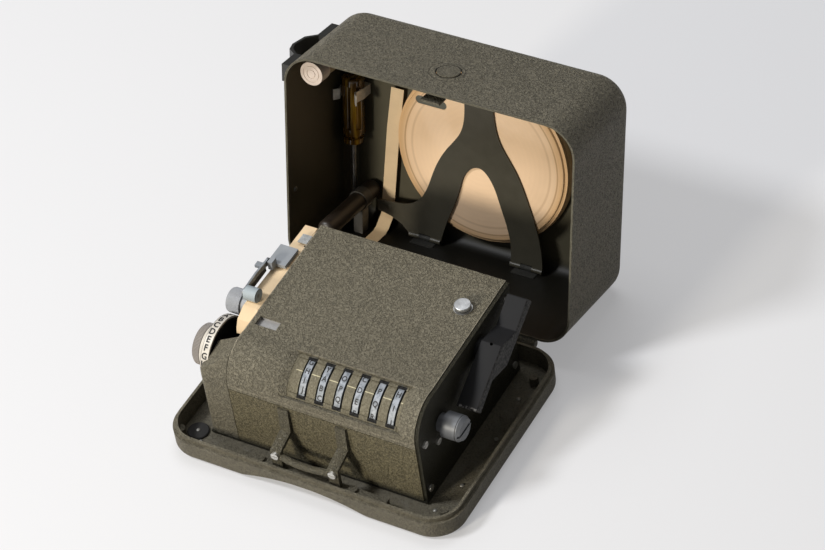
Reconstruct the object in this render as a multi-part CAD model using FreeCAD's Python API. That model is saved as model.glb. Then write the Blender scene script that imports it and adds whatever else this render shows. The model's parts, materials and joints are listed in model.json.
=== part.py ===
"""Portable pin-and-lug cipher machine in its two-part steel case.

Millimetres.  Origin: centre of the case's underside.  +X towards the drive handle,
+Y towards the lid hinge, +Z up.  The lid stands open and leans back on the table.
Everything that belongs to the lid is drawn in the closed case and swung open last.
"""
import FreeCAD, Part
import math
import os

V = FreeCAD.Vector
X_AXIS = V(1, 0, 0)
Y_AXIS = V(0, 1, 0)
Z_AXIS = V(0, 0, 1)

# ---------------------------------------------------------------- case
case_width = 185.0
case_depth = 142.0
corner_radius = 19.0
base_height = 12.5          # table to the step that the lid's rim sits on
lip_height = 2.8            # locating lip above that step
lip_thickness = 1.6
base_floor = 2.0
base_edge_radius = 3.5
lid_height = 71.3
lid_wall = 1.2
lid_edge_radius = 9.0
lid_seat_gap = 0.3
lid_lip_gap = 0.5
scoop_half_width = 46.0     # finger scoop under the front edge
scoop_rise = 8.5            # height of the arch in the front face
scoop_back_rise = 5.2       # and at the scoop's inner end
scoop_depth = 6.0
stud_radius = 2.6
stud_front_inset = 7.8      # studs behind the front wall
pad_radius = 6.4
pad_height = 1.4

# ---------------------------------------------------------------- lid hinge
hinge_pin_radius = 1.0
hinge_barrel_radius = 2.2
hinge_leaf_thickness = 1.0
hinge_leaf_length = 24.0
hinge_knuckle_gap = 0.3
hinge_spacing = 120.0
hinge_leaf_height = 7.5
table_gap = 0.3             # air under the resting lid

# ---------------------------------------------------------------- machine
machine_floor_gap = 0.6     # chassis above the tray floor
chassis_thickness = 1.6
cover_left = -54.0
cover_right = 65.0
front_y = -50.0             # front face
rear_y = 61.5
front_radius = 24.0         # rolled front edge of the cover
front_bulge = 1.6           # the roll stands this far outside a true quarter circle
fold_rise = 3.0             # fold where the roll meets the flat front, above the wheels' axis
top_front_z = 69.2          # height where the top meets the rolled edge
top_rear_z = 72.0
sheet = 1.4
cover_lower_z = 45.0        # lower edge of the hinged cover in front
cover_seam = 0.4
rear_wall_top = 58.0        # low enough for the cover's skirt to swing past
cover_pin_radius = 1.2
running_gap = 0.05          # radial, every shaft in its bore
plate_thickness = 2.0
side_gap = 0.3
shoulder_left = -72.4
shoulder_rear = -31.0
shoulder_outer_z = 58.6     # outer edge of the sloping shoulder
shoulder_fall = 0.26        # and how fast it falls towards the front
shoulder_round = 3.0

# ---------------------------------------------------------------- key wheels
wheel_count = 6
wheel_pitch = 11.2
first_wheel_x = -7.6
wheel_radius = 22.0
wheel_rim = 3.6             # width of the lettered rim
wheel_hub_width = 8.6
wheel_hub_radius = 17.5
wheel_pin_radius = 0.7
wheel_pin_count = 9
recess_radius = 21.7        # floor of the display recess
recess_wall = 1.2
recess_left = -15.5
recess_right = 52.0
recess_end_slope = 4.0      # how far the recess ends lean out
recess_from = 94.0          # degrees from +Y, over the top, to the front
recess_to = 162.0
slot_width = 5.8
slot_gap = 0.6              # clearance of the slots round the wheels
wheel_shaft_radius = 3.0
reset_knob_radius = 7.6
reset_knob_length = 11.5
reset_knob_gap = 4.0        # from the side plate to the knob
knob_slot_width = 1.8
knob_slot_depth = 1.4

# ---------------------------------------------------------------- drum and drive
drive_y = 21.5
drive_z = 57.25
drive_shaft_radius = 2.5
gear_pitch_radius = 9.0
gear_teeth = 18
gear_width = 4.0
drum_bar_count = 27
drum_radius = 22.5          # circle of the slide bars
drum_disc_radius = 23.2
drum_disc_width = 2.4
drum_left = -38.0
drum_right = 50.0
drum_bar_height = 2.4
drum_bar_thickness = 1.6
drum_shaft_radius = 2.5
lug_height = 1.6
inner_plate_x = 57.5
handle_width = 12.6         # along X
handle_gap = 3.6            # from the side plate to the handle
handle_tip = (35.2, 10.0)   # corners of one half, measured from the turning axis
handle_heel = (31.0, 15.6)
handle_waist = (15.3, 4.9)
handle_crest = (-1.4, 8.9)
handle_hub_radius = 6.5
set_screw_radius = 1.0

# ---------------------------------------------------------------- indicator and printer
indicator_x = -69.5         # right face of the lettered disc
indicator_y = -25.3
indicator_z = 46.1
indicator_radius = 20.6
indicator_rim_width = 5.0
indicator_rim_wall = 2.2
indicator_neck_radius = 14.0
indicator_neck_length = 5.7
indicator_knob_radius = 12.0
indicator_knob_length = 5.0
indicator_groove = 0.5
indicator_gap = 0.8         # round the disc in the shoulder's hollow
indicator_shaft_radius = 2.5
type_wheel_radius = 11.5
type_wheel_width = 6.0
feed_y = -2.2
feed_z = 62.8
feed_roller_radius = 6.2
feed_knob_radius = 7.2
feed_knob_length = 9.0
feed_collar_radius = 6.0
feed_shaft_radius = 2.0
pressure_roller_radius = 4.2
arm_thickness = 1.2
arm_pivot_y = 22.0
arm_pivot_radius = 1.2
printer_left = -67.5
printer_right = -56.0
printer_front = 24.0
printer_rear = 39.0
printer_top = 72.5
printer_bottom = 44.0
tape_width = 8.0
tape_thickness = 0.3
tape_x = -60.2

# ---------------------------------------------------------------- counter and button
window_x = -43.8
window_y = -16.1
window_depth = 1.2          # from the cover's underside to the clear plate
window_length = 13.5
window_width = 7.0
counter_radius = 6.0
counter_digits = 3
counter_digit_width = 3.6
counter_gap = 0.3
counter_pin_radius = 1.2
button_x = 52.7
button_y = 33.8
button_radius = 4.9
button_rise = 1.8
button_travel = 1.4
button_stem_radius = 2.2
button_guide_gap = 0.08

# ---------------------------------------------------------------- keeper in front
keeper_half_spacing = 18.3
keeper_width = 6.6
keeper_thickness = 1.6
keeper_reach = 13.5         # from the front face to the screws
keeper_step_z = 28.5
keeper_foot_z = 22.0
keeper_foot_drop = 10.0     # strap below the screws
keeper_bar_radius = 2.1
keeper_bow = 1.4            # the bar's middle is bent forward and down
keeper_screw_radius = 1.0

# ---------------------------------------------------------------- inside the lid
reel_x = 2.0
reel_y = 3.0
reel_face_radius = 52.8
reel_rim_radius = 55.8
reel_thickness = 8.4
reel_sheet = 0.6
reel_spindle_radius = 6.0
reel_gap = 0.3
bracket_thickness = 1.0
bracket_stem_y = -66.0      # free end of the stem
bracket_pin_radius = 0.8
bracket_barrel_radius = 1.7
foot_x = 34.0
foot_length = 21.0
can_side_inset = 14.9       # insets are measured from the case's outside
can_front_inset = 12.6
can_radius = 7.2
can_depth = 5.5             # cap's face below the lid's rim
can_cap_length = 9.0
can_length = 58.0
driver_inset = 9.4
driver_depth = 61.3         # below the lid's rim
driver_radius = 6.8
driver_top_y = -29.5
driver_grip_length = 44.0
driver_blade_length = 40.0
driver_blade_radius = 1.5
tube_side_inset = 19.0
tube_rear_inset = 23.5
tube_radius = 5.6
tube_length = 58.0
clip_sheet = 0.7
lock_depth = 26.0
lock_radius = 7.3
lock_gap = 0.45
lock_rise = 0.5
loop_front_inset = 13.5
loop_width = 11.0
loop_length = 56.0
loop_rise = 7.0
loop_thickness = 1.6
lid_tape_width = 8.5
lid_tape_drop = 3.4         # below the lid's ceiling

# ---------------------------------------------------------------- worked out
half_width = case_width / 2
half_depth = case_depth / 2
lid_rim_z = base_height + lid_seat_gap
lid_top_z = lid_rim_z + lid_height
lid_ceiling_z = lid_top_z - lid_wall
hinge_y = half_depth + hinge_barrel_radius + 0.3
hinge_z = base_height
chassis_z = base_floor + machine_floor_gap
chassis_top = chassis_z + chassis_thickness
wheel_y = front_y + front_radius
wheel_z = top_front_z - front_radius
drum_y = drive_y
drum_z = drive_z - 2 * gear_pitch_radius
reel_back_z = lid_ceiling_z - reel_gap
reel_front_z = reel_back_z - reel_thickness
bracket_top_z = reel_front_z - reel_gap
tape_z = feed_z + feed_roller_radius + 0.1

lock_z = lid_rim_z + lock_depth
keeper_y = front_y - keeper_reach
keeper_bar_y = keeper_y - 0.6
keeper_bar_z = keeper_foot_z - 1.6
bar_middle_y = keeper_bar_y - keeper_bow
bar_middle_z = keeper_bar_z - keeper_bow / 2
cover_hinge_y = rear_y - sheet - 2.6
cover_hinge_z = top_rear_z - 6.5
middle_plate_x = first_wheel_x - wheel_pitch
can_x = can_side_inset - half_width
can_y = can_front_inset - half_depth
driver_x = driver_inset - half_width
tube_x = tube_side_inset - half_width
tube_y = half_depth - tube_rear_inset
wheel_places = [first_wheel_x + wheel_pitch * i for i in range(wheel_count)]

parts = {}


def add(name, *shapes):
    """Register one node; several shapes are a group of separate solids."""
    parts[name] = shapes[0] if len(shapes) == 1 else Part.makeCompound(list(shapes))


def add_each(names, shapes):
    for name, shape in zip(names, shapes):
        add(name, shape)


def block(x0, x1, y0, y1, z0, z1):
    return Part.makeBox(x1 - x0, y1 - y0, z1 - z0, V(x0, y0, z0))


def rod_x(x0, x1, y, z, radius):
    return Part.makeCylinder(radius, x1 - x0, V(x0, y, z), X_AXIS)


def rod_y(y0, y1, x, z, radius):
    return Part.makeCylinder(radius, y1 - y0, V(x, y0, z), Y_AXIS)


def rod_z(z0, z1, x, y, radius):
    return Part.makeCylinder(radius, z1 - z0, V(x, y, z0), Z_AXIS)


def cone_x(x0, x1, y, z, radius0, radius1):
    return Part.makeCone(radius0, radius1, x1 - x0, V(x0, y, z), X_AXIS)


def plate_from(wire, direction):
    return Part.Face(wire).extrude(direction)


def slab_x(points, x0, x1):
    """Extrude a closed (y, z) outline along X."""
    wire = Part.makePolygon([V(x0, y, z) for y, z in points + points[:1]])
    return plate_from(wire, V(x1 - x0, 0, 0))


def slab_z(points, z0, z1):
    """Extrude a closed (x, y) outline along Z."""
    wire = Part.makePolygon([V(x, y, z0) for x, y in points + points[:1]])
    return plate_from(wire, V(0, 0, z1 - z0))


def edges_along(shape, axis, pick=lambda centre: True):
    """Straight edges parallel to an axis whose mid-point passes a test."""
    found = []
    for edge in shape.Edges:
        if not isinstance(edge.Curve, Part.Line):
            continue
        if abs(edge.tangentAt(edge.FirstParameter).dot(axis)) > 0.999 and pick(edge.CenterOfMass):
            found.append(edge)
    return found


def edges_at_z(shape, z):
    return [e for e in shape.Edges if abs(e.BoundBox.ZMin - z) < 1e-4 and abs(e.BoundBox.ZMax - z) < 1e-4]


def rounded_slab(inset, z0, z1):
    """The case's footprint, drawn in by an inset, with round corners."""
    shape = block(-half_width + inset, half_width - inset, -half_depth + inset, half_depth - inset, z0, z1)
    return shape.makeFillet(corner_radius - inset, edges_along(shape, Z_AXIS))


def turned(shape, angle, y, z):
    """Copy turned about an X-parallel axis; positive takes +Z towards -Y."""
    copy = shape.copy()
    copy.rotate(V(0, y, z), X_AXIS, angle)
    return copy


def lid_open_angle():
    """Angle at which the lid's round rear edge comes down on the table."""
    reach_y = (half_depth - lid_edge_radius) - hinge_y
    reach_z = (lid_top_z - lid_edge_radius) - hinge_z
    drop = lid_edge_radius + table_gap - hinge_z
    return math.degrees(math.atan2(-reach_y, reach_z) + math.acos(drop / math.hypot(reach_y, reach_z)))


open_angle = lid_open_angle()


def opened(shape):
    return turned(shape, -open_angle, hinge_y, hinge_z)


# ================================================================ case base
def base_tray():
    """Pressed tray: outer pan, step for the lid's rim, inner lip, finger scoop in front."""
    lip_inset = lid_wall + lid_lip_gap
    pan = rounded_slab(0, 0, base_height)
    pan = pan.makeFillet(base_edge_radius, edges_at_z(pan, 0))
    lip = rounded_slab(lip_inset, base_edge_radius, base_height + lip_height)
    inside = rounded_slab(lip_inset + lip_thickness, base_floor, base_height + lip_height + 1)
    tray = pan.fuse(lip).cut(inside)
    inner_front = -half_depth + lip_inset + lip_thickness
    ledge_z = base_height - 2
    ledge = block(-scoop_half_width - 4, scoop_half_width + 4, inner_front - 1,
                  keeper_y + 2.8, base_floor - 0.5, ledge_z)
    tray = tray.fuse(ledge)
    for side in (-1, 1):
        centre = side * keeper_half_spacing
        half_lug = keeper_width / 2 - 1
        lug = block(centre - half_lug, centre + half_lug, keeper_y, keeper_y + 2.4,
                    ledge_z - 1, keeper_foot_z + 1)
        screw_hole = rod_y(keeper_y - 1, keeper_y + 4, centre, keeper_foot_z - 0.5, keeper_screw_radius)
        tray = tray.fuse(lug.cut(screw_hole))
    stud_y = stud_front_inset - half_depth
    side_x, side_y = half_width - 12.5, half_depth - 17
    for x, y, height in ((-31, stud_y, 10), (28.5, stud_y, 10), (side_x, -side_y, 6), (side_x, side_y, 6),
                         (-side_x, side_y, 6), (5.8 - half_width, 12 - half_depth, 7)):
        tray = tray.fuse(rod_z(base_floor - 0.5, base_floor + height, x, y, stud_radius))
    # the scoop: a shallow arch sheared inwards, so that a finger reaches under the front edge
    arch_radius = (scoop_half_width ** 2 + scoop_rise ** 2) / (2 * scoop_rise)
    arches = []
    for y, rise in ((-half_depth - 0.01, scoop_rise), (-half_depth + scoop_depth, scoop_back_rise)):
        arches.append(Part.Wire(Part.makeCircle(arch_radius, V(0, y, rise - arch_radius), Y_AXIS)))
    return tray.cut(Part.makeLoft(arches, True)).removeSplitter()


def can_pad():
    """Rubber seat in the tray's corner, under the ink-pad can."""
    pad = rod_z(base_floor, base_floor + pad_height, can_x - 2.4, can_y + 5.8, pad_radius)
    return pad.makeChamfer(0.5, edges_at_z(pad, base_floor + pad_height))


def hinge_parts():
    """Two butt hinges: base leaf with two knuckles and the pin, lid leaf with one knuckle."""
    third = (hinge_leaf_length - 2 * hinge_knuckle_gap) / 3
    base_leaves, lid_leaves = [], []
    for side in (-1, 1):
        x0 = side * hinge_spacing / 2 - hinge_leaf_length / 2
        x1 = x0 + hinge_leaf_length
        mid0, mid1 = x0 + third, x1 - third
        top = hinge_z - 1.8
        base_leaf = block(x0, x1, half_depth, half_depth + hinge_leaf_thickness, top - hinge_leaf_height, top)
        for start, end in ((x0, mid0), (mid1, x1)):
            base_leaf = base_leaf.fuse(rod_x(start, end, hinge_y, hinge_z, hinge_barrel_radius))
            base_leaf = base_leaf.fuse(block(start, end, half_depth, hinge_y, top - 0.6, top + 0.6))
        base_leaves.append(base_leaf.fuse(rod_x(x0, x1, hinge_y, hinge_z, hinge_pin_radius)))
        low = hinge_z + 2.0
        mid0, mid1 = mid0 + hinge_knuckle_gap, mid1 - hinge_knuckle_gap
        leaf = block(x0, x1, half_depth, half_depth + hinge_leaf_thickness, low, low + hinge_leaf_height)
        arm = block(mid0, mid1, half_depth, hinge_y, lid_rim_z + 0.3, low + 0.2)
        knuckle = rod_x(mid0, mid1, hinge_y, hinge_z, hinge_barrel_radius)
        bore = rod_x(x0 - 1, x1 + 1, hinge_y, hinge_z, hinge_pin_radius + running_gap)
        lid_leaves.append(opened(leaf.fuse(arm).fuse(knuckle).cut(bore)))
    return base_leaves, lid_leaves


# ================================================================ lid
def lid_space():
    """The room inside the closed lid."""
    room = rounded_slab(lid_wall, lid_rim_z - 1, lid_ceiling_z)
    return room.makeFillet(lid_edge_radius - lid_wall, edges_at_z(room, lid_ceiling_z))


def lid_shell():
    """Deep-drawn lid with a hole for the lock's button in its front wall."""
    outer = rounded_slab(0, lid_rim_z, lid_top_z)
    outer = outer.makeFillet(lid_edge_radius, edges_at_z(outer, lid_top_z))
    return outer.cut(lid_space()).cut(rod_y(-half_depth - 2, -half_depth + 4, 0, lock_z, lock_radius))


def lock_button():
    """Push button and the hook behind it that lets go of the keeper's bar."""
    button = rod_y(-half_depth - lock_rise, -half_depth + lid_wall + 1.6, 0, lock_z, lock_radius - lock_gap)
    button = button.makeFillet(lock_rise * 0.7, [e for e in button.Edges if e.BoundBox.YMax < -half_depth])
    plate_y = -half_depth + lid_wall + 1.6
    arm_y = bar_middle_y + keeper_bar_radius + 0.6
    hook_z = bar_middle_z + keeper_bar_radius + 1.9
    toe_z = bar_middle_z - keeper_bar_radius - 1.2
    outline = [(plate_y, lock_z + 6), (plate_y + 1.2, lock_z + 6), (plate_y + 1.2, hook_z + 4.4),
               (arm_y + 1.2, hook_z + 0.9), (arm_y + 1.2, toe_z), (arm_y - 0.3, toe_z), (arm_y, toe_z + 1.2),
               (arm_y, hook_z), (plate_y, hook_z + 3.4)]
    return opened(button.fuse(slab_x(outline, -6, 6)))


def strap_loop():
    """Pressed strip on the left wall with a hump that a carrying strap runs through."""
    wall = -half_width
    face = wall - loop_thickness
    crest = wall - loop_rise
    z0 = lid_rim_z + 0.5
    z1 = z0 + loop_length
    hump0, hump1 = z0 + loop_length * 0.24, z0 + loop_length * 0.72
    outline = [(wall + 4, z0), (face, z0), (face, hump0), (crest, hump0 + 4), (crest - loop_thickness, hump0 + 10),
               (crest, hump1 - 6), (face, hump1), (face, z1), (wall + 4, z1), (wall + 4, hump1 - 1),
               (wall - 0.6, hump1 - 1), (crest + loop_thickness, hump1 - 7), (crest, hump0 + 10),
               (crest + loop_thickness, hump0 + 5.4), (wall - 0.6, hump0 + 1), (wall + 4, hump0 + 1)]
    loop_y = loop_front_inset - half_depth
    wire = Part.makePolygon([V(x, loop_y - loop_width / 2, z) for x, z in outline + outline[:1]])
    strip = plate_from(wire, V(0, loop_width, 0))
    lid_body = rounded_slab(0, lid_rim_z - 1, lid_top_z + 1)
    return opened(strip.cut(lid_body))


def spin_at_reel(points):
    """Solid of revolution about the reel's axis from (radius, z) points."""
    wire = Part.makePolygon([V(reel_x + r, reel_y, z) for r, z in points + points[:1]])
    return Part.Face(wire).revolve(V(reel_x, reel_y, 0), Z_AXIS, 360)


def reel():
    """Tape container: two pressed dishes round a roll of tape, turning on a fixed spindle."""
    t = reel_sheet
    bore = reel_spindle_radius + running_gap
    seam = (reel_front_z + reel_back_z) / 2
    face, rim = reel_face_radius, reel_rim_radius
    core = reel_spindle_radius + 6
    front_in, back_in = reel_front_z + t, reel_back_z - t
    front = spin_at_reel([
        (bore, reel_front_z), (face, reel_front_z), (face + 0.9, reel_front_z + 0.5), (face + 1.4, front_in + 1),
        (rim, front_in + 1.4), (rim, seam - 0.2), (rim - t, seam - 0.2), (rim - t, front_in + 2),
        (face + 0.6, front_in + 1.6), (face - 0.2, front_in), (bore, front_in)])
    # finger slot near the upper left edge of the front dish
    slot_y = reel_y - face + 24.5
    slot_x0, slot_x1 = reel_x - face + 12.3, reel_x - face + 27.6
    slot = block(slot_x0, slot_x1, slot_y - 2.6, slot_y + 2.6, reel_front_z - 1, front_in + 1)
    for x in (slot_x0, slot_x1):
        slot = slot.fuse(rod_z(reel_front_z - 1, front_in + 1, x, slot_y, 2.6))
    back = spin_at_reel([
        (bore, reel_back_z), (rim + 0.8, reel_back_z), (rim + 0.8, seam + 1.4), (rim + 0.2, seam + 0.2),
        (rim - t, seam + 0.2), (rim - t, back_in), (core, back_in), (core, front_in), (bore, front_in)])
    roll = spin_at_reel([(core, front_in), (face - 1.5, front_in), (face - 1.5, back_in), (core, back_in)])
    spindle = rod_z(reel_front_z + t, lid_ceiling_z, reel_x, reel_y, reel_spindle_radius)
    return opened(front.cut(slot)), opened(back), opened(roll), opened(spindle)


def smooth_edge(points, z):
    """One smooth curve through (x, y) points at a height."""
    curve = Part.BSplineCurve()
    curve.interpolate([V(x, y, z) for x, y in points])
    return curve.toShape()


def straight_edge(start, end, z):
    return Part.makeLine(V(start[0], start[1], z), V(end[0], end[1], z))


def reel_bracket():
    """Forked spring plate over the reel: stem, two legs on hinged feet, an arm for the tape."""
    foot_y = half_depth - lid_wall - bracket_barrel_radius - 0.5
    z0 = bracket_top_z - bracket_thickness
    left, right = -foot_x - foot_length / 2, foot_x + foot_length / 2
    inner = foot_x - foot_length / 2
    right_side = [(11.5, bracket_stem_y), (11, -27), (15, -12), (24.5, 2.8), (34.3, 23.8), (41.8, 45.7), (right, foot_y)]
    crotch = [(inner, foot_y), (22.2, 48), (15.8, 29.3), (8.6, 13.8), (2, 9), (-4.7, 12.1), (-10.9, 27.5),
              (-19.4, 52.8), (-inner, foot_y)]
    tape_arm = [(left, foot_y), (left - 5, 62.5), (left - 12.5, 59), (-66, 57), (-66.5, 50)]
    left_side = [(-66.5, 50), (-52, 48.6), (-41.5, 45.2), (-34.6, 37), (-28.3, 19.7), (-18.9, 1), (-10.5, -12),
                 (-8.2, -27), (-8.5, bracket_stem_y)]
    edges = [smooth_edge(right_side, z0), straight_edge(right_side[-1], crotch[0], z0), smooth_edge(crotch, z0)]
    edges += [straight_edge(start, end, z0) for start, end in zip([crotch[-1]] + tape_arm, tape_arm)]
    edges += [smooth_edge(left_side, z0), straight_edge(left_side[-1], right_side[0], z0)]
    plate = plate_from(Part.Wire(edges), V(0, 0, bracket_thickness))
    third = foot_length / 3
    axis_z = z0 + bracket_thickness / 2
    hinges = []
    for side in (-1, 1):
        x0 = side * foot_x - foot_length / 2
        lug0, lug1 = x0 + third, x0 + 2 * third
        for start in (x0, lug1 + 0.2):
            plate = plate.fuse(rod_x(start, start + third - 0.2, foot_y, axis_z, bracket_barrel_radius))
        plate = plate.cut(block(lug0 - 0.2, lug1 + 0.2, foot_y - 2.4, foot_y + 3, z0 - 3, z0 + 5))
        lug = rod_x(lug0, lug1, foot_y, axis_z, bracket_barrel_radius)
        lug = lug.fuse(block(lug0, lug1, foot_y, half_depth - lid_wall, axis_z - 1, axis_z + 1))
        lug = lug.fuse(block(lug0 - 4, lug1 + 4, half_depth - lid_wall - 0.4, half_depth - lid_wall,
                             axis_z - 6, axis_z + 1.4))
        hinges.append(opened(lug.fuse(rod_x(x0, x0 + foot_length, foot_y, axis_z, bracket_pin_radius))))
    bore = rod_x(left - 1, right + 1, foot_y, axis_z, bracket_pin_radius + running_gap)
    return opened(plate.cut(bore)), hinges


def lid_tape():
    """Tape from the reel's edge, flat behind the bracket's arm, then forward along the lid's rear wall."""
    t = tape_thickness
    half = lid_tape_width / 2
    flat_z = lid_ceiling_z - lid_tape_drop
    wall_y = half_depth - lid_wall - t
    edge_x = reel_x - reel_rim_radius - half - 1.1
    bend_x, bend_y = edge_x - 3.2, wall_y - 19.5
    middle = [(edge_x + 3, reel_y - 28), (edge_x, reel_y), (bend_x, bend_y)]
    outline = [(x - half, y) for x, y in middle] + [(x + half, y) for x, y in middle[::-1]]
    flat = slab_z(outline, flat_z, flat_z + t)
    under = [(bend_y - 1, flat_z), (bend_y + 12, flat_z - 2), (wall_y - 1.6, flat_z - 8), (wall_y, flat_z - 12),
             (wall_y, lid_rim_z + 8)]
    over = [(y + t, z + t) for y, z in under[:-1]] + [(wall_y + t, lid_rim_z + 8)]
    forward = slab_x(under + over[::-1], bend_x - half, bend_x + half)
    return opened(flat.fuse(forward).common(lid_space()))


def ink_can():
    """Ink-pad can held in the lid's corner, with a ringed cap facing the opening."""
    z0 = lid_rim_z + can_depth
    z1 = z0 + can_cap_length
    cap = rod_z(z0, z1, can_x, can_y, can_radius)
    for radius in (5.4, 3.0):
        ring = rod_z(z0 - 1, z0 + 0.3, can_x, can_y, radius)
        cap = cap.cut(ring.cut(rod_z(z0 - 2, z0 + 1, can_x, can_y, radius - 0.7)))
    body = rod_z(z1, z0 + can_length, can_x, can_y, can_radius - 0.6)
    body = body.makeFillet(1.5, edges_at_z(body, z0 + can_length))
    band = z0 + can_length - 22
    bore = rod_z(band - 1, band + 9, can_x, can_y, can_radius - 0.6)
    ring = rod_z(band, band + 8, can_x, can_y, can_radius + 0.4)
    tab = block(-half_width + lid_wall, can_x, can_y - 3, can_y + 3, band, band + 8)
    return opened(cap), opened(body), opened(ring.fuse(tab).common(lid_space()).cut(bore))


def screwdriver():
    """Fluted amber grip and plain steel blade, snapped into a spring clip on the ceiling."""
    z = lid_rim_z + driver_depth
    end_y = driver_top_y + driver_grip_length
    grip = rod_y(driver_top_y, end_y - 6, driver_x, z, driver_radius)
    grip = grip.makeFillet(2.0, [e for e in grip.Edges if e.BoundBox.YMax < driver_top_y + 0.01])
    for flute in range(6):
        angle = math.radians(60 * flute + 30)
        reach = driver_radius + 1.2
        grip = grip.cut(rod_y(driver_top_y + 5, end_y - 10, driver_x + reach * math.cos(angle),
                              z + reach * math.sin(angle), 2.4))
    grip = grip.fuse(Part.makeCone(driver_radius, driver_radius - 1.8, 3, V(driver_x, end_y - 6, z), Y_AXIS))
    grip = grip.fuse(rod_y(end_y - 3, end_y, driver_x, z, driver_radius - 0.6))
    grip = grip.cut(rod_y(end_y - 8, end_y + 1, driver_x, z, driver_blade_radius))
    tip_y = end_y + driver_blade_length
    blade = rod_y(end_y - 8, tip_y, driver_x, z, driver_blade_radius)
    for flat_z in (z + 0.4, z - 3.4):
        blade = blade.cut(block(driver_x - 3, driver_x + 3, tip_y - 7, tip_y + 1, flat_z, flat_z + 3))
    y0, y1 = driver_top_y + 7, driver_top_y + 14
    arm = driver_radius + clip_sheet
    top, throat = z + arm, z - driver_radius
    clip = block(driver_x - 3, driver_x + 3, y0, y1, top - clip_sheet, lid_ceiling_z)
    for side in (-1, 1):
        outline = [(0, top), (arm, top), (arm, z - 1), (arm - 1.6, throat), (arm + 0.6, throat - 3),
                   (arm, throat - 3.6), (arm - 2.6, throat - 0.2), (arm - clip_sheet, z - 1),
                   (arm - clip_sheet, z), (0, z)]
        wire = Part.makePolygon([V(driver_x + side * x, y0, pz) for x, pz in outline + outline[:1]])
        clip = clip.fuse(plate_from(wire, V(0, y1 - y0, 0)))
    clip = clip.cut(rod_y(y0 - 1, y1 + 1, driver_x, z, driver_radius)).common(lid_space())
    return opened(grip), opened(blade), opened(clip)


def oil_tube():
    """Dark tube with round ends, held by a ring clip on the rear wall."""
    z1 = lid_ceiling_z - 2.0
    z0 = z1 - tube_length
    tube = rod_z(z0, z1, tube_x, tube_y, tube_radius)
    tube = tube.makeFillet(3.0, edges_at_z(tube, z0) + edges_at_z(tube, z1))
    band = z1 - 19
    ring = rod_z(band, band + 7, tube_x, tube_y, tube_radius + clip_sheet)
    arm = block(tube_x - 3, tube_x + 3, tube_y, half_depth - lid_wall, band, band + 7)
    clip = ring.fuse(arm).common(lid_space()).cut(rod_z(band - 1, band + 8, tube_x, tube_y, tube_radius))
    return opened(tube), opened(clip)


# ================================================================ machine body
def side_outline(inset, lower_z):
    """Closed face in the YZ plane: flat front and rear, rolled front edge, sloping top."""
    radius = front_radius - inset
    reach = (radius + front_bulge) * math.sqrt(0.5)
    bottom_front = V(0, front_y + inset, lower_z)
    roll_start = V(0, front_y + inset, wheel_z + fold_rise)
    roll_middle = V(0, wheel_y - reach, wheel_z + reach)
    roll_end = V(0, wheel_y, wheel_z + radius)
    top_rear = V(0, rear_y - inset, top_rear_z - inset)
    bottom_rear = V(0, rear_y - inset, lower_z)
    wire = Part.Wire([Part.makeLine(bottom_front, roll_start), Part.Arc(roll_start, roll_middle, roll_end).toShape(),
                      Part.makeLine(roll_end, top_rear), Part.makeLine(top_rear, bottom_rear),
                      Part.makeLine(bottom_rear, bottom_front)])
    return Part.Face(wire)


def side_slab(inset, lower_z, x0, x1):
    """The machine's side outline, drawn in by an inset and extruded along X."""
    shape = side_outline(inset, lower_z).extrude(V(x1 - x0, 0, 0))
    shape.translate(V(x0, 0, 0))
    return shape


def cover_top_z(y):
    """Height of the cover's outer top face at a distance y."""
    share = (y - wheel_y) / (rear_y - wheel_y)
    return top_front_z + share * (top_rear_z - top_front_z)


def recess_solid(grow):
    """Ring sector round the wheel axis with leaning ends: the display recess."""
    inner = recess_radius - grow
    outer = front_radius + 6
    lean = recess_end_slope * (outer - recess_radius) / (front_radius - recess_radius)
    points = [(recess_left - grow, inner), (recess_right + grow, inner),
              (recess_right + lean + grow, outer), (recess_left - lean - grow, outer)]
    extra = math.degrees(grow / recess_radius)
    start = math.radians(recess_from - extra)
    direction = V(0, math.cos(start), math.sin(start))
    centre = V(0, wheel_y, wheel_z)
    wire = Part.makePolygon([centre + V(x, 0, 0) + direction * r for x, r in points + points[:1]])
    return Part.Face(wire).revolve(centre, X_AXIS, recess_to - recess_from + 2 * extra)


def top_cover():
    """Hinged cover: top, rolled front, display recess with six slots, window, button hole."""
    cover = side_slab(0, cover_lower_z + cover_seam, cover_left, cover_right)
    inner = side_slab(sheet, cover_lower_z - 5, cover_left - 1, cover_right + 1)
    cover = cover.cut(inner.cut(recess_solid(recess_wall))).cut(recess_solid(0))
    cover = cover.cut(block(cover_left - 1, cover_right + 1, rear_y - sheet - 1, rear_y + 1, 0, top_rear_z - 5))
    slot_reach = wheel_radius + slot_gap
    for x in wheel_places:
        slot = rod_x(x - slot_width / 2, x + slot_width / 2, wheel_y, wheel_z, slot_reach)
        cover = cover.cut(slot)
    cover = cover.cut(block(window_x - window_length / 2, window_x + window_length / 2,
                            window_y - window_width / 2, window_y + window_width / 2, 60, top_rear_z + 5))
    cover = cover.cut(rod_z(60, top_rear_z + 5, button_x, button_y, button_stem_radius + button_guide_gap))
    for side, edge in ((1, cover_left), (-1, cover_right)):
        x = edge + side * 4
        ear = rod_x(x - 2, x + 2, cover_hinge_y, cover_hinge_z, 2.4)
        ear = ear.fuse(block(x - 2, x + 2, cover_hinge_y - 2.4, cover_hinge_y + 2.4, cover_hinge_z, top_rear_z - 0.7))
        cover = cover.fuse(ear).cut(rod_x(x - 3, x + 3, cover_hinge_y, cover_hinge_z, cover_pin_radius + running_gap))
    return cover


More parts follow.
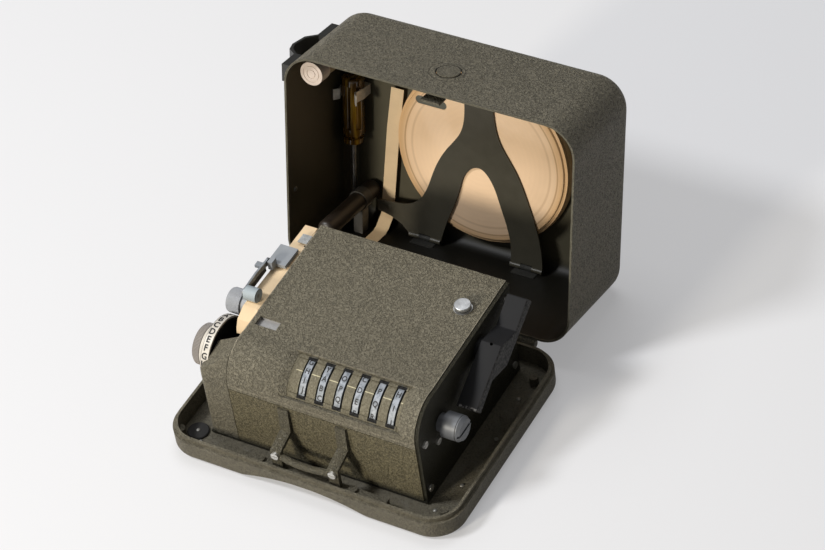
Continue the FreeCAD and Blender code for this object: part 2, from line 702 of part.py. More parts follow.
def chassis():
    """Bottom plate with four pressed feet, its bent-up rear wall and the cover's hinge ears."""
    right = cover_right + side_gap + plate_thickness
    plate = block(shoulder_left, right, front_y, rear_y, chassis_z, chassis_top)
    for x in (shoulder_left + 12, cover_right - 8):
        for y in (front_y + 10, rear_y - 10):
            plate = plate.fuse(rod_z(base_floor, chassis_z, x, y, 5))
    wall_y = rear_y - sheet
    plate = plate.fuse(block(cover_left, cover_right, wall_y, rear_y, chassis_top, rear_wall_top))
    for x in (cover_left + 10, cover_right - 10):
        ear = rod_x(x - 2, x + 2, cover_hinge_y, cover_hinge_z, 2.4)
        ear = ear.fuse(block(x - 2, x + 2, cover_hinge_y - 1, wall_y, cover_hinge_z - 12, cover_hinge_z))
        # the cover's rear edge swings down past the ears
        ear = ear.cut(block(x - 3, x + 3, cover_hinge_y + 1.6, rear_y + 2, cover_hinge_z - 4.5, cover_hinge_z - 1.5))
        plate = plate.fuse(ear)
    return plate.cut(rod_x(cover_left, cover_right, cover_hinge_y, cover_hinge_z, cover_pin_radius))


def lower_front():
    """Fixed front plate below the cover, turned in at the bottom."""
    plate = block(cover_left, cover_right, front_y, front_y + sheet, chassis_top, cover_lower_z)
    flange_left = cover_left + side_gap + plate_thickness
    return plate.fuse(block(flange_left, cover_right, front_y, front_y + 8, chassis_top, chassis_top + sheet))


def shoulder_form(inset):
    """Left front corner of the body under a sloping top, drawn in by an inset."""
    left, right = shoulder_left + inset, cover_left - side_gap - inset
    form = side_slab(inset, chassis_top - inset, left, right)
    form = form.cut(block(left - 1, right + 1, shoulder_rear + inset * 2, rear_y + 1, 0, 90))
    slope = (top_front_z - shoulder_outer_z) / (cover_left - shoulder_left)
    low, high = left - 2, right + 2
    start_y = front_y - 1
    front_z = top_front_z - 0.4 - inset - shoulder_fall * (shoulder_rear - start_y)
    roof = [V(x, start_y, front_z - slope * (cover_left - x)) for x in (low, high)]
    roof += [V(high, start_y, 95), V(low, start_y, 95)]
    return form.cut(plate_from(Part.makePolygon(roof + roof[:1]), V(0, 60, 60 * shoulder_fall)))


def disc_hollow(inset):
    """Round hollow in the shoulder's side that the lettered disc turns in."""
    return rod_x(shoulder_left - 5, indicator_x + indicator_gap / 2 + inset, indicator_y, indicator_z,
                 indicator_radius + indicator_gap + inset)


def left_shoulder():
    """Sheet housing at the left front, open behind for the type wheel."""
    outer = shoulder_form(0)
    crown = [e for e in outer.Edges if e.BoundBox.XMax < shoulder_left + 0.01 and e.BoundBox.ZMin > wheel_z]
    outer = outer.makeFillet(shoulder_round, crown)
    return outer.cut(disc_hollow(0)).cut(shoulder_form(sheet).cut(disc_hollow(sheet)))


def side_plates():
    """Right and left side plates, and the two bearing plates inside."""
    base = chassis_top
    right = side_slab(0.6, base, cover_right + side_gap, cover_right + side_gap + plate_thickness)
    left = side_slab(sheet + 0.5, base, cover_left + 0.2, cover_left + 0.2 + plate_thickness)
    left = left.cut(block(cover_left, cover_left + 5, cover_hinge_y - 4, rear_y, cover_hinge_z - 4, top_rear_z))
    inner = block(inner_plate_x - plate_thickness, inner_plate_x, wheel_y + 6, cover_hinge_y - 5, base, drive_z + 6)
    middle = block(middle_plate_x - plate_thickness, middle_plate_x, wheel_y - 10, wheel_y + 16, base, wheel_z + 12)
    for y, z, radius in ((wheel_y, wheel_z, wheel_shaft_radius), (drive_y, drive_z, drive_shaft_radius),
                         (drum_y, drum_z, drum_shaft_radius)):
        bore = rod_x(middle_plate_x - 5, cover_right + 9, y, z, radius + running_gap)
        right, inner, middle = right.cut(bore), inner.cut(bore), middle.cut(bore)
    for y, z, radius in ((drum_y, drum_z, drum_shaft_radius), (indicator_y, indicator_z, indicator_shaft_radius),
                         (feed_y, feed_z, feed_shaft_radius)):
        left = left.cut(rod_x(cover_left - 1, cover_left + 9, y, z, radius + running_gap))
    return right, left, inner, middle


def cheese_head(x, y, z):
    """Slotted screw head standing on a plate that faces +X."""
    return rod_x(x, x + 1.2, y, z, 2.2).cut(block(x + 0.7, x + 2, y - 3, y + 3, z - 0.3, z + 0.3))


def keeper():
    """Two stepped straps from the front plate to the tray, joined by the lock's bar."""
    t = keeper_thickness
    top = cover_lower_z - 0.6
    outline = [(front_y, top), (front_y - t, top), (front_y - t - 0.8, keeper_step_z),
               (keeper_y + 1.2, keeper_foot_z + 3.4), (keeper_y - t, keeper_foot_z + 2),
               (keeper_y - t, keeper_foot_z - keeper_foot_drop), (keeper_y, keeper_foot_z - keeper_foot_drop),
               (keeper_y, keeper_foot_z + 1),
               (keeper_y + 2.4, keeper_foot_z + 1.4), (front_y - 1.6, keeper_step_z - 2.4), (front_y, keeper_step_z - 1)]
    inside = keeper_half_spacing - keeper_width / 2 + 0.2
    bow = Part.Arc(V(-inside, keeper_bar_y, keeper_bar_z), V(0, bar_middle_y, bar_middle_z),
                   V(inside, keeper_bar_y, keeper_bar_z)).toShape()
    start, heading = bow.valueAt(bow.FirstParameter), bow.tangentAt(bow.FirstParameter)
    section = Part.Wire(Part.makeCircle(keeper_bar_radius, start, heading))
    bracket = Part.Wire(bow).makePipeShell([section], True, True)
    screws = []
    for side in (-1, 1):
        centre = side * keeper_half_spacing
        bracket = bracket.fuse(slab_x(outline, centre - keeper_width / 2, centre + keeper_width / 2))
        shank = rod_y(keeper_y - 9, keeper_y + 9, centre, keeper_foot_z - 0.5, keeper_screw_radius)
        bracket = bracket.cut(shank)
        head = rod_y(keeper_y - t - 1.6, keeper_y - t, centre, keeper_foot_z - 0.5, 2.4)
        head = head.cut(block(centre - 3, centre + 3, keeper_y - t - 2, keeper_y - t - 1, keeper_foot_z - 0.8,
                              keeper_foot_z - 0.2))
        screws.append(head.fuse(rod_y(keeper_y - t, keeper_y + 2.4, centre, keeper_foot_z - 0.5, keeper_screw_radius)))
    return bracket, screws


# ================================================================ wheels, drum, drive
def key_wheel(x):
    """Lettered rim on a wider hub, with a ring of working pins through the rim."""
    wheel = rod_x(x - wheel_rim / 2, x + wheel_rim / 2, wheel_y, wheel_z, wheel_radius)
    wheel = wheel.fuse(rod_x(x - wheel_hub_width / 2, x + wheel_hub_width / 2, wheel_y, wheel_z, wheel_hub_radius))
    half_pin = wheel_rim / 2 + 1.6
    for i in range(wheel_pin_count):
        angle = 2 * math.pi / wheel_pin_count * i
        circle = wheel_hub_radius + 1.6
        wheel = wheel.fuse(rod_x(x - half_pin, x + half_pin, wheel_y + circle * math.cos(angle),
                                 wheel_z + circle * math.sin(angle), wheel_pin_radius))
    return wheel.cut(rod_x(x - 9, x + 9, wheel_y, wheel_z, wheel_shaft_radius + running_gap))


def wheel_spindle():
    """Shaft through the key wheels and the reset knob on its right end."""
    plate_face = cover_right + side_gap + plate_thickness
    knob_x = plate_face + reset_knob_gap
    knob_end = knob_x + reset_knob_length
    shaft = rod_x(middle_plate_x - plate_thickness - 1, knob_x + 3, wheel_y, wheel_z, wheel_shaft_radius)
    knob = rod_x(knob_x, knob_end - 2, wheel_y, wheel_z, reset_knob_radius)
    knob = knob.fuse(cone_x(knob_end - 2, knob_end, wheel_y, wheel_z, reset_knob_radius, reset_knob_radius - 1.3))
    knob = knob.fuse(rod_x(plate_face + side_gap, knob_x, wheel_y, wheel_z, wheel_shaft_radius + 2.4))
    knob = knob.cut(rod_x(plate_face, knob_x + 3, wheel_y, wheel_z, wheel_shaft_radius))
    knob = knob.cut(block(knob_end - knob_slot_depth, knob_end + 1, wheel_y - 12, wheel_y + 12,
                          wheel_z - knob_slot_width / 2, wheel_z + knob_slot_width / 2))
    return shaft, knob


def gear(x0, y, z, phase):
    """Spur gear with straight-flanked teeth and working backlash."""
    module = 2 * gear_pitch_radius / gear_teeth
    tip, root = gear_pitch_radius + 0.62 * module, gear_pitch_radius - 0.82 * module
    step = 2 * math.pi / gear_teeth
    points = []
    for i in range(gear_teeth):
        middle = step * i + phase
        for radius, share in ((root, -0.40), (root, -0.30), (tip, -0.10), (tip, 0.10), (root, 0.30), (root, 0.40)):
            angle = middle + share * step
            points.append((y + radius * math.cos(angle), z + radius * math.sin(angle)))
    return slab_x(points, x0, x0 + gear_width)


def drum():
    """Cage of slide bars between two discs on the drum shaft, and its gear."""
    cage = rod_x(cover_left + 0.4, cover_right + side_gap + plate_thickness - 0.2, drum_y, drum_z, drum_shaft_radius)
    bar_x0, bar_x1 = drum_left + drum_disc_width, drum_right - drum_disc_width
    for x in (drum_left, bar_x1):
        cage = cage.fuse(rod_x(x, x + drum_disc_width, drum_y, drum_z, drum_disc_radius))
    bars = []
    half = drum_bar_thickness / 2
    outer_z = drum_z + drum_radius
    for i in range(drum_bar_count):
        bar = block(bar_x0, bar_x1, drum_y - half, drum_y + half, outer_z - drum_bar_height, outer_z)
        lug_x = wheel_places[i % wheel_count] - wheel_hub_width / 2
        bar = bar.fuse(block(lug_x - 1.2, lug_x + 1.2, drum_y - half, drum_y + half, outer_z, outer_z + lug_height))
        bars.append(turned(bar, 360 / drum_bar_count * i, drum_y, drum_z))
    gear_x = inner_plate_x + 1.0
    wheel = gear(gear_x, drum_y, drum_z, math.pi / 2)
    return cage, bars, wheel.cut(rod_x(gear_x - 1, gear_x + 9, drum_y, drum_z, drum_shaft_radius))


def drive_handle():
    """Moulded S-shaped handle: a raised crest by the hub on each side, then a waist and a heel."""
    x0 = cover_right + side_gap + plate_thickness + handle_gap
    x1 = x0 + handle_width
    tip_u, tip_v = handle_tip
    half = [(-tip_u, -tip_v), handle_crest, handle_waist, handle_heel]
    outline = half + [(-u, -v) for u, v in half]
    body = slab_x([(drive_y + u, drive_z + v) for u, v in outline], x0, x1)
    body = body.makeFillet(1.0, edges_along(body, X_AXIS))
    body = body.makeFillet(0.7, [e for e in body.Edges if abs(e.BoundBox.XMin - x1) < 1e-4])
    body = body.cut(rod_z(drive_z + drive_shaft_radius, drive_z + 20, x0 + handle_width / 2, drive_y - 1.5, set_screw_radius))
    hub_x0 = cover_right + side_gap + plate_thickness + side_gap
    body = body.fuse(rod_x(hub_x0, x0, drive_y, drive_z, handle_hub_radius))
    shaft_end = x1 - 4
    body = body.cut(rod_x(hub_x0 - 1, shaft_end, drive_y, drive_z, drive_shaft_radius))
    shaft = rod_x(inner_plate_x - plate_thickness, shaft_end, drive_y, drive_z, drive_shaft_radius)
    half_step = math.pi / gear_teeth
    pinion = gear(inner_plate_x + 1.0, drive_y, drive_z, -math.pi / 2 + half_step)
    return body, shaft.fuse(pinion)


# ================================================================ indicator, printer, counter
def indicator():
    """Lettered disc, finger knob and type wheel on one short shaft."""
    y, z = indicator_y, indicator_z
    rim_x1 = indicator_x
    rim_x0 = rim_x1 - indicator_rim_width
    disc = cone_x(rim_x0, rim_x1, y, z, indicator_radius - 0.3, indicator_radius)
    disc = disc.cut(rod_x(rim_x0 + 1.2, rim_x1 + 1, y, z, indicator_radius - indicator_rim_wall))
    disc = disc.fuse(rod_x(rim_x0, rim_x1, y, z, indicator_shaft_radius + 2.5))
    neck_x0 = rim_x0 - indicator_neck_length
    disc = disc.fuse(cone_x(neck_x0, rim_x0, y, z, indicator_neck_radius - 1.5, indicator_neck_radius))
    groove_x0 = neck_x0 - indicator_groove
    knob_x0 = groove_x0 - indicator_knob_length
    knob = rod_x(knob_x0, groove_x0, y, z, indicator_knob_radius)
    knob = knob.makeChamfer(0.8, [e for e in knob.Edges if e.BoundBox.XMax < knob_x0 + 0.01])
    knob = knob.fuse(rod_x(groove_x0, neck_x0, y, z, indicator_knob_radius - 1.2))
    shaft = rod_x(neck_x0, cover_left + 6, y, z, indicator_shaft_radius)
    disc = disc.cut(rod_x(neck_x0 - 1, rim_x1 + 1, y, z, indicator_shaft_radius))
    type_x1 = cover_left - side_gap - 1.5
    wheel = rod_x(type_x1 - type_wheel_width, type_x1, y, z, type_wheel_radius)
    wheel = wheel.cut(rod_x(type_x1 - 9, type_x1 + 1, y, z, indicator_shaft_radius))
    return disc, knob.fuse(shaft), wheel


def feed():
    """Feed roller under the tape, turned by the finger knob at its left."""
    x0, x1 = printer_left + 2, printer_right - 0.3
    roller = rod_x(x0, x1, feed_y, feed_z, feed_roller_radius)
    roller = roller.cut(rod_x(x0 - 1, x1 + 1, feed_y, feed_z, feed_shaft_radius))
    knob_x1 = x0 - 3
    knob = rod_x(knob_x1 - feed_knob_length, knob_x1, feed_y, feed_z, feed_knob_radius)
    knob = knob.makeFillet(1.2, [e for e in knob.Edges if e.BoundBox.XMax < knob_x1 - feed_knob_length + 0.01])
    knob = knob.fuse(rod_x(knob_x1, x0, feed_y, feed_z, feed_collar_radius))
    knob = knob.fuse(rod_x(x0, cover_left + 5, feed_y, feed_z, feed_shaft_radius))
    return roller, knob


def pressure_parts():
    """Sprung arm over the tape, its rubber-faced roller, and the guide block that carries it."""
    roller_y = feed_y - 1
    roller_z = tape_z + tape_thickness + pressure_roller_radius + 0.1
    roller_x0, roller_x1 = printer_left + 2.6, printer_right - 1.2
    roller = rod_x(roller_x0, roller_x1, roller_y, roller_z, pressure_roller_radius)
    roller = roller.cut(rod_x(roller_x0 - 1, roller_x1 + 1, roller_y, roller_z, arm_pivot_radius + running_gap))
    arm_x1 = roller_x0 - 0.4
    arm_x0 = arm_x1 - arm_thickness
    pivot_z = printer_top + 1.8
    mid_y = (roller_y + arm_pivot_y) / 2
    arm = rod_x(arm_x0, arm_x1, roller_y, roller_z, 2.6).fuse(rod_x(arm_x0, arm_x1, arm_pivot_y, pivot_z, 2.4))
    arm = arm.fuse(slab_x([(roller_y, roller_z - 1.6), (roller_y + 1, roller_z + 2.4), (mid_y, roller_z + 3.4),
                           (arm_pivot_y, pivot_z + 2.2), (arm_pivot_y, pivot_z - 1.6), (mid_y, roller_z + 0.4)],
                          arm_x0, arm_x1))
    arm = arm.fuse(rod_x(arm_x1, roller_x1, roller_y, roller_z, arm_pivot_radius))
    arm = arm.fuse(block(arm_x0 - 4.5, arm_x1, arm_pivot_y - 6, arm_pivot_y - 2.4, pivot_z - 0.8, pivot_z + 1.0))
    arm = arm.cut(rod_x(arm_x0 - 1, arm_x1 + 1, arm_pivot_y, pivot_z, arm_pivot_radius + running_gap))

    guide = block(printer_left, printer_right, printer_front, printer_rear, printer_bottom, printer_top)
    guide = guide.cut(block(tape_x - tape_width / 2 - 0.5, printer_right + 1, printer_front - 1, printer_rear + 1,
                            tape_z - 1.0, tape_z + 1.2))
    guide = guide.cut(block(printer_left - 1, printer_right - 3, printer_front - 1, printer_rear - 3,
                            printer_bottom - 1, feed_z + 3))
    guide = guide.fuse(block(printer_right - 0.5, cover_left + 0.2, printer_front + 2, printer_rear,
                             printer_bottom, feed_z + 4))
    ear = block(arm_x1 + 0.3, arm_x1 + 3.3, arm_pivot_y - 1.8, printer_front + 1, printer_top - 2, pivot_z + 1.8)
    guide = guide.fuse(ear).fuse(rod_x(arm_x0 - 0.4, arm_x1 + 1, arm_pivot_y, pivot_z, arm_pivot_radius))
    return guide, roller, arm


def tape_strip():
    """Paper tape: over the feed roller, through the guide block and down behind the machine."""
    t = tape_thickness
    under = [(indicator_y + 5.2, tape_z - 11.6), (indicator_y + 5.9, tape_z - 8.6), (indicator_y + 8.4, tape_z - 3.8),
             (feed_y - 7.4, tape_z),
             (rear_y - 1, tape_z), (rear_y + 1.6, tape_z - 3), (rear_y + 2.6, base_height + 8)]
    over = [(y + t * (y > rear_y), z + t * (y <= rear_y)) for y, z in under]
    return slab_x(under + over[::-1], tape_x - tape_width / 2, tape_x + tape_width / 2)


def inlet_clip():
    """Bright bent sheet over the tape where it enters, screwed to the left plate."""
    y0, y1 = printer_rear + 6, printer_rear + 13
    upright_x = cover_left - side_gap
    clip = block(upright_x - 1.3, upright_x, y0, y1, tape_z - 12, tape_z + 2.4)
    clip = clip.fuse(block(upright_x - 6, upright_x, y0, y1, tape_z + 1.8, tape_z + 2.4))
    return clip.fuse(block(upright_x - 1.3, cover_left + 0.2, y0, y1, tape_z - 12, tape_z - 6))


def counter():
    """Three figure wheels on a pin in a U-shaped yoke, under a window in the cover."""
    z = cover_top_z(window_y) - sheet - window_depth - 1.4 - counter_radius
    pitch = counter_digit_width + counter_gap
    x0 = window_x - counter_digits * pitch / 2
    x1 = x0 + counter_digits * pitch
    digits = []
    for i in range(counter_digits):
        x = x0 + i * pitch
        digit = rod_x(x, x + counter_digit_width, window_y, z, counter_radius)
        digits.append(digit.cut(rod_x(x - 1, x + 9, window_y, z, counter_pin_radius + running_gap)))
    floor_z = z - counter_radius - 1
    yoke = block(x0 - 1.9, x1 + 1.6, window_y - 3, window_y + 3, floor_z - 1.5, z + 3)
    yoke = yoke.cut(block(x0 - 0.4, x1 + 0.1, window_y - 4, window_y + 4, floor_z, z + 4))
    yoke = yoke.fuse(rod_x(x0 - 1.9, x1 + 1.6, window_y, z, counter_pin_radius))
    yoke = yoke.fuse(block(cover_left + 0.2 + plate_thickness, x0 - 0.4, window_y - 3, window_y + 3, floor_z - 1.5, floor_z))
    glass_x0, glass_x1 = window_x - window_length / 2 - 1, window_x + window_length / 2 + 1
    floor_inset = sheet + window_depth
    frame = side_slab(sheet, 60, glass_x0, glass_x1).cut(side_slab(floor_inset + 0.6, 50, glass_x0 - 1, glass_x1 + 1))
    well = block(glass_x0 + 1, glass_x1 - 1, window_y - window_width / 2, window_y + window_width / 2, 60, 80)
    well = well.cut(side_slab(floor_inset, 50, glass_x0 - 1, glass_x1 + 1))
    around = block(glass_x0, glass_x1, window_y - window_width / 2 - 1, window_y + window_width / 2 + 1, 60, 80)
    glass = frame.common(around).cut(well)
    return digits, yoke, glass


def push_button():
    """Bright button in a collar on the cover, on a stem that slides through both."""
    top = cover_top_z(button_y)
    seat = top + 0.5
    collar = rod_z(top - 1, seat, button_x, button_y, button_radius + 0.5)
    collar = collar.cut(side_slab(0, 50, button_x - 9, button_x + 9))
    collar = collar.cut(rod_z(top - 3, top + 3, button_x, button_y, button_stem_radius + button_guide_gap))
    crown = seat + button_travel + button_rise
    head = rod_z(seat + button_travel, crown, button_x, button_y, button_radius)
    head = head.makeFillet(0.6, edges_at_z(head, crown))
    return collar, head.fuse(rod_z(top - 6, seat + button_travel, button_x, button_y, button_stem_radius))


# ================================================================ assemble
def build_case():
    base_leaves, lid_leaves = hinge_parts()
    add("base_tray", base_tray())
    add("can_pad", can_pad())
    add("base_hinge_leaves", *base_leaves)
    add("lid_hinge_leaves", *lid_leaves)
    add("lid_shell", opened(lid_shell()))
    add("lock_button", lock_button())
    add("strap_loop", strap_loop())
    add_each(("reel_front_dish", "reel_back_dish", "tape_roll", "reel_spindle"), reel())
    bracket, hinges = reel_bracket()
    add("reel_bracket", bracket)
    add("bracket_hinges", *hinges)
    add("lid_tape", lid_tape())
    cap, can, can_clip = ink_can()
    grip, blade, driver_clip = screwdriver()
    tube, tube_clip = oil_tube()
    add_each(("can_cap", "ink_can", "screwdriver_grip", "screwdriver_blade", "oil_tube"), (cap, can, grip, blade, tube))
    add("lid_clips", can_clip, driver_clip, tube_clip)


def build_body():
    right, left, inner, middle = side_plates()
    add_each(("right_side_plate", "left_side_plate"), (right, left))
    add("bearing_plates", inner, middle)
    add("chassis", chassis())
    add("lower_front", lower_front())
    add("left_shoulder", left_shoulder())
    add("cover_hinge_pin", rod_x(cover_left + 1, cover_right - 1, cover_hinge_y, cover_hinge_z, cover_pin_radius))
    add("top_cover", top_cover())
    bracket, screws = keeper()
    add("keeper", bracket)
    face = cover_right + side_gap + plate_thickness
    for y, z in ((front_y + 5, chassis_top + 7), (front_y + 6, cover_lower_z), (front_y + 19, cover_lower_z - 10),
                 (rear_y - 6, chassis_top + 7), (rear_y - 7, top_rear_z - 8)):
        screws.append(cheese_head(face, y, z))
    add("machine_screws", *screws)


def build_works():
    for i, x in enumerate(wheel_places):
        add("key_wheel_%d" % (i + 1), key_wheel(x))
    add_each(("wheel_shaft", "reset_knob"), wheel_spindle())
    cage, bars, wheel = drum()
    add("drum_cage", cage)
    add("slide_bars", *bars)
    add("drum_gear", wheel)
    add_each(("drive_handle", "drive_shaft"), drive_handle())
    add_each(("indicating_disc", "indicator_knob", "type_wheel"), indicator())
    add_each(("feed_roller", "feed_knob"), feed())
    add_each(("tape_guide", "pressure_roller", "pressure_arm"), pressure_parts())
    add("paper_tape", tape_strip())
    add("inlet_clip", inlet_clip())
    digits, yoke, glass = counter()
    add_each(("counter_units", "counter_tens", "counter_hundreds"), digits[::-1])
    add_each(("counter_yoke", "counter_window"), (yoke, glass))
    add_each(("button_collar", "push_button"), push_button())


build_case()
build_body()
build_works()
os.makedirs("parts", exist_ok=True)
for name, shape in parts.items():
    shape.exportStep("parts/%s.step" % name)
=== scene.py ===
"""Finish, lettering and setting of a portable pin-and-lug cipher machine in its open case."""
import json
import math

import bmesh
import bpy
from bpy.props import FloatProperty, FloatVectorProperty, IntProperty, PointerProperty
from bpy.types import Operator, Panel, PropertyGroup
from mathutils import Matrix, Vector


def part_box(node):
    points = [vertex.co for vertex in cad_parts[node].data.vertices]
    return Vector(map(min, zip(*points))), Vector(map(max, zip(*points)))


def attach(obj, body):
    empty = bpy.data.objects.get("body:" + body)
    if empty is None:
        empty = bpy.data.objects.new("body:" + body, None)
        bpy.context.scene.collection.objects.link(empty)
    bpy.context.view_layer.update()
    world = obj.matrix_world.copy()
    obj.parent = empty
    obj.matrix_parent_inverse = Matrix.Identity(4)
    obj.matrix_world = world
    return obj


bl_info = {
    "name": "Field cipher machine",
    "version": (1, 0, 0),
    "blender": (4, 5, 0),
    "location": "View3D > Sidebar > Cipher machine",
    "description": "Paints, letters and lights a portable cipher machine around its packed frame",
    "category": "Object",
}

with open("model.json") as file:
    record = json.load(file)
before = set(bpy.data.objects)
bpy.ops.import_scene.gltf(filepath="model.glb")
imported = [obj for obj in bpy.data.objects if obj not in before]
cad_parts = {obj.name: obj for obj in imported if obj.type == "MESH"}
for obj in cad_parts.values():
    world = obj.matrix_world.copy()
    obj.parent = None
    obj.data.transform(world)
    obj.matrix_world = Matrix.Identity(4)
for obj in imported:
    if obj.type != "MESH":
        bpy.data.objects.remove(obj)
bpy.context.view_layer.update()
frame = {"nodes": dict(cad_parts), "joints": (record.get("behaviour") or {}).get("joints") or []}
NODES = frame["nodes"]
MM = 0.001

ALPHABET = "ABCDEFGHIJKLMNOPQRSTUVWXYZ"
WHEEL_LETTERS = (26, 25, 23, 21, 19, 17)     # letters round each key wheel, left to right
WHEEL_TURNS = (0.35, 2.1, 4.4, 1.2, 3.3, 5.6)    # angle of each wheel's first letter, in radians
WHEEL_RADIUS, COUNTER_RADIUS, DISC_RADIUS = 22.0 * MM, 6.0 * MM, 20.52 * MM
SLOT_HALF_WIDTH = 2.8 * MM

# Angles round the key wheels' shaft, in degrees from +Y over the top
RECESS_TOP, RECESS_FOOT = 94.4, 161.6
SLOT_TOP, SLOT_FOOT = 95.6, 159.4
INDEX_LINE = 119.6


def hinge_of(name):
    """A joint's pivot and its far limit in radians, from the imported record."""
    joint = next(j for j in frame["joints"] if j["name"] == name)
    return Vector(joint["pos_m"]), math.radians(joint["range_deg"][1])


LID_PIVOT, LID_ANGLE = hinge_of("lid_hinge")
SHUT_TURN = Matrix.Rotation(LID_ANGLE, 4, "X")
OPEN_TURN = Matrix.Rotation(-LID_ANGLE, 4, "X")
OPEN_LID = Matrix.Translation(LID_PIVOT) @ OPEN_TURN @ Matrix.Translation(-LID_PIVOT)


def centre_of(node):
    """Middle of a CAD node's box."""
    low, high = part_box(node)
    return (low + high) / 2


# ---- settings
def colour_setting(name, description, default):
    return FloatVectorProperty(name=name, description=description, subtype="COLOR", size=3, min=0, max=1,
                               default=default)


def length_setting(name, description, default):
    return FloatProperty(name=name, description=description, subtype="DISTANCE", unit="LENGTH",
                         default=default)


class CipherPaints(PropertyGroup):
    """Colours of the paints, mouldings and metals."""
    body: colour_setting("Body paint", "Olive grey wrinkle paint of the machine", (0.136, 0.123, 0.090))
    # Front plate: the body paint darker and yellower, as painted shade with a painted yellow reflection.
    front: colour_setting("Front plate painted shade", "Body paint darker and yellower on the front plate, as painted shade", (0.112, 0.097, 0.058))
    case: colour_setting("Case paint", "Darker olive wrinkle paint of the case", (0.122, 0.110, 0.080))
    inside: colour_setting("Lid inside", "Smooth dark olive inside the lid", (0.046, 0.041, 0.026))
    cream: colour_setting("Reel cream", "Warm cream lacquer of the tape reel", (0.92, 0.66, 0.43))
    paper: colour_setting("Paper", "Yellowed paper tape", (0.76, 0.58, 0.37))
    letter: colour_setting("Letter black", "Filling of the cut letters", (0.010, 0.010, 0.011))


class CipherSizes(PropertyGroup):
    """Sizes of lettering, ribs and small fasteners."""
    wheel_letter: length_setting("Wheel letter height", "Height of a letter on a key wheel", 3.1 * MM)
    disc_letter: length_setting("Disc letter height", "Height of a letter on the indicating disc", 3.7 * MM)
    letter_rise: length_setting("Letter rise", "How far a letter's face stands off its wheel", 0.03 * MM)
    grain: length_setting("Paint grain", "Width of one fold of the wrinkle paint", 1.15 * MM)
    knob_ribs: IntProperty(name="Knob ribs", description="Ribs round the indicator knob", default=96, min=12)
    feed_ribs: IntProperty(name="Feed knob ribs", description="Ribs round the feed knob", default=56, min=12)


# ---- node materials
class Term:
    """One output socket; arithmetic on it adds Math nodes to its material."""

    def __init__(self, finish, socket):
        self.finish, self.socket = finish, socket

    def apply(self, operation, *terms):
        return self.finish.node("ShaderNodeMath", {"operation": operation}, dict(enumerate(terms)))

    def __add__(self, other):
        return self.apply("ADD", self, other)

    def __sub__(self, other):
        return self.apply("SUBTRACT", self, other)

    def __rsub__(self, other):
        return self.apply("SUBTRACT", other, self)

    def __mul__(self, other):
        return self.apply("MULTIPLY", self, other)

    def __pow__(self, other):
        return self.apply("POWER", self, other)

    def __abs__(self):
        return self.apply("ABSOLUTE", self)

    __radd__ = __add__
    __rmul__ = __mul__

    def least(self, other):
        return self.apply("MINIMUM", self, other)

    def most(self, other):
        return self.apply("MAXIMUM", self, other)


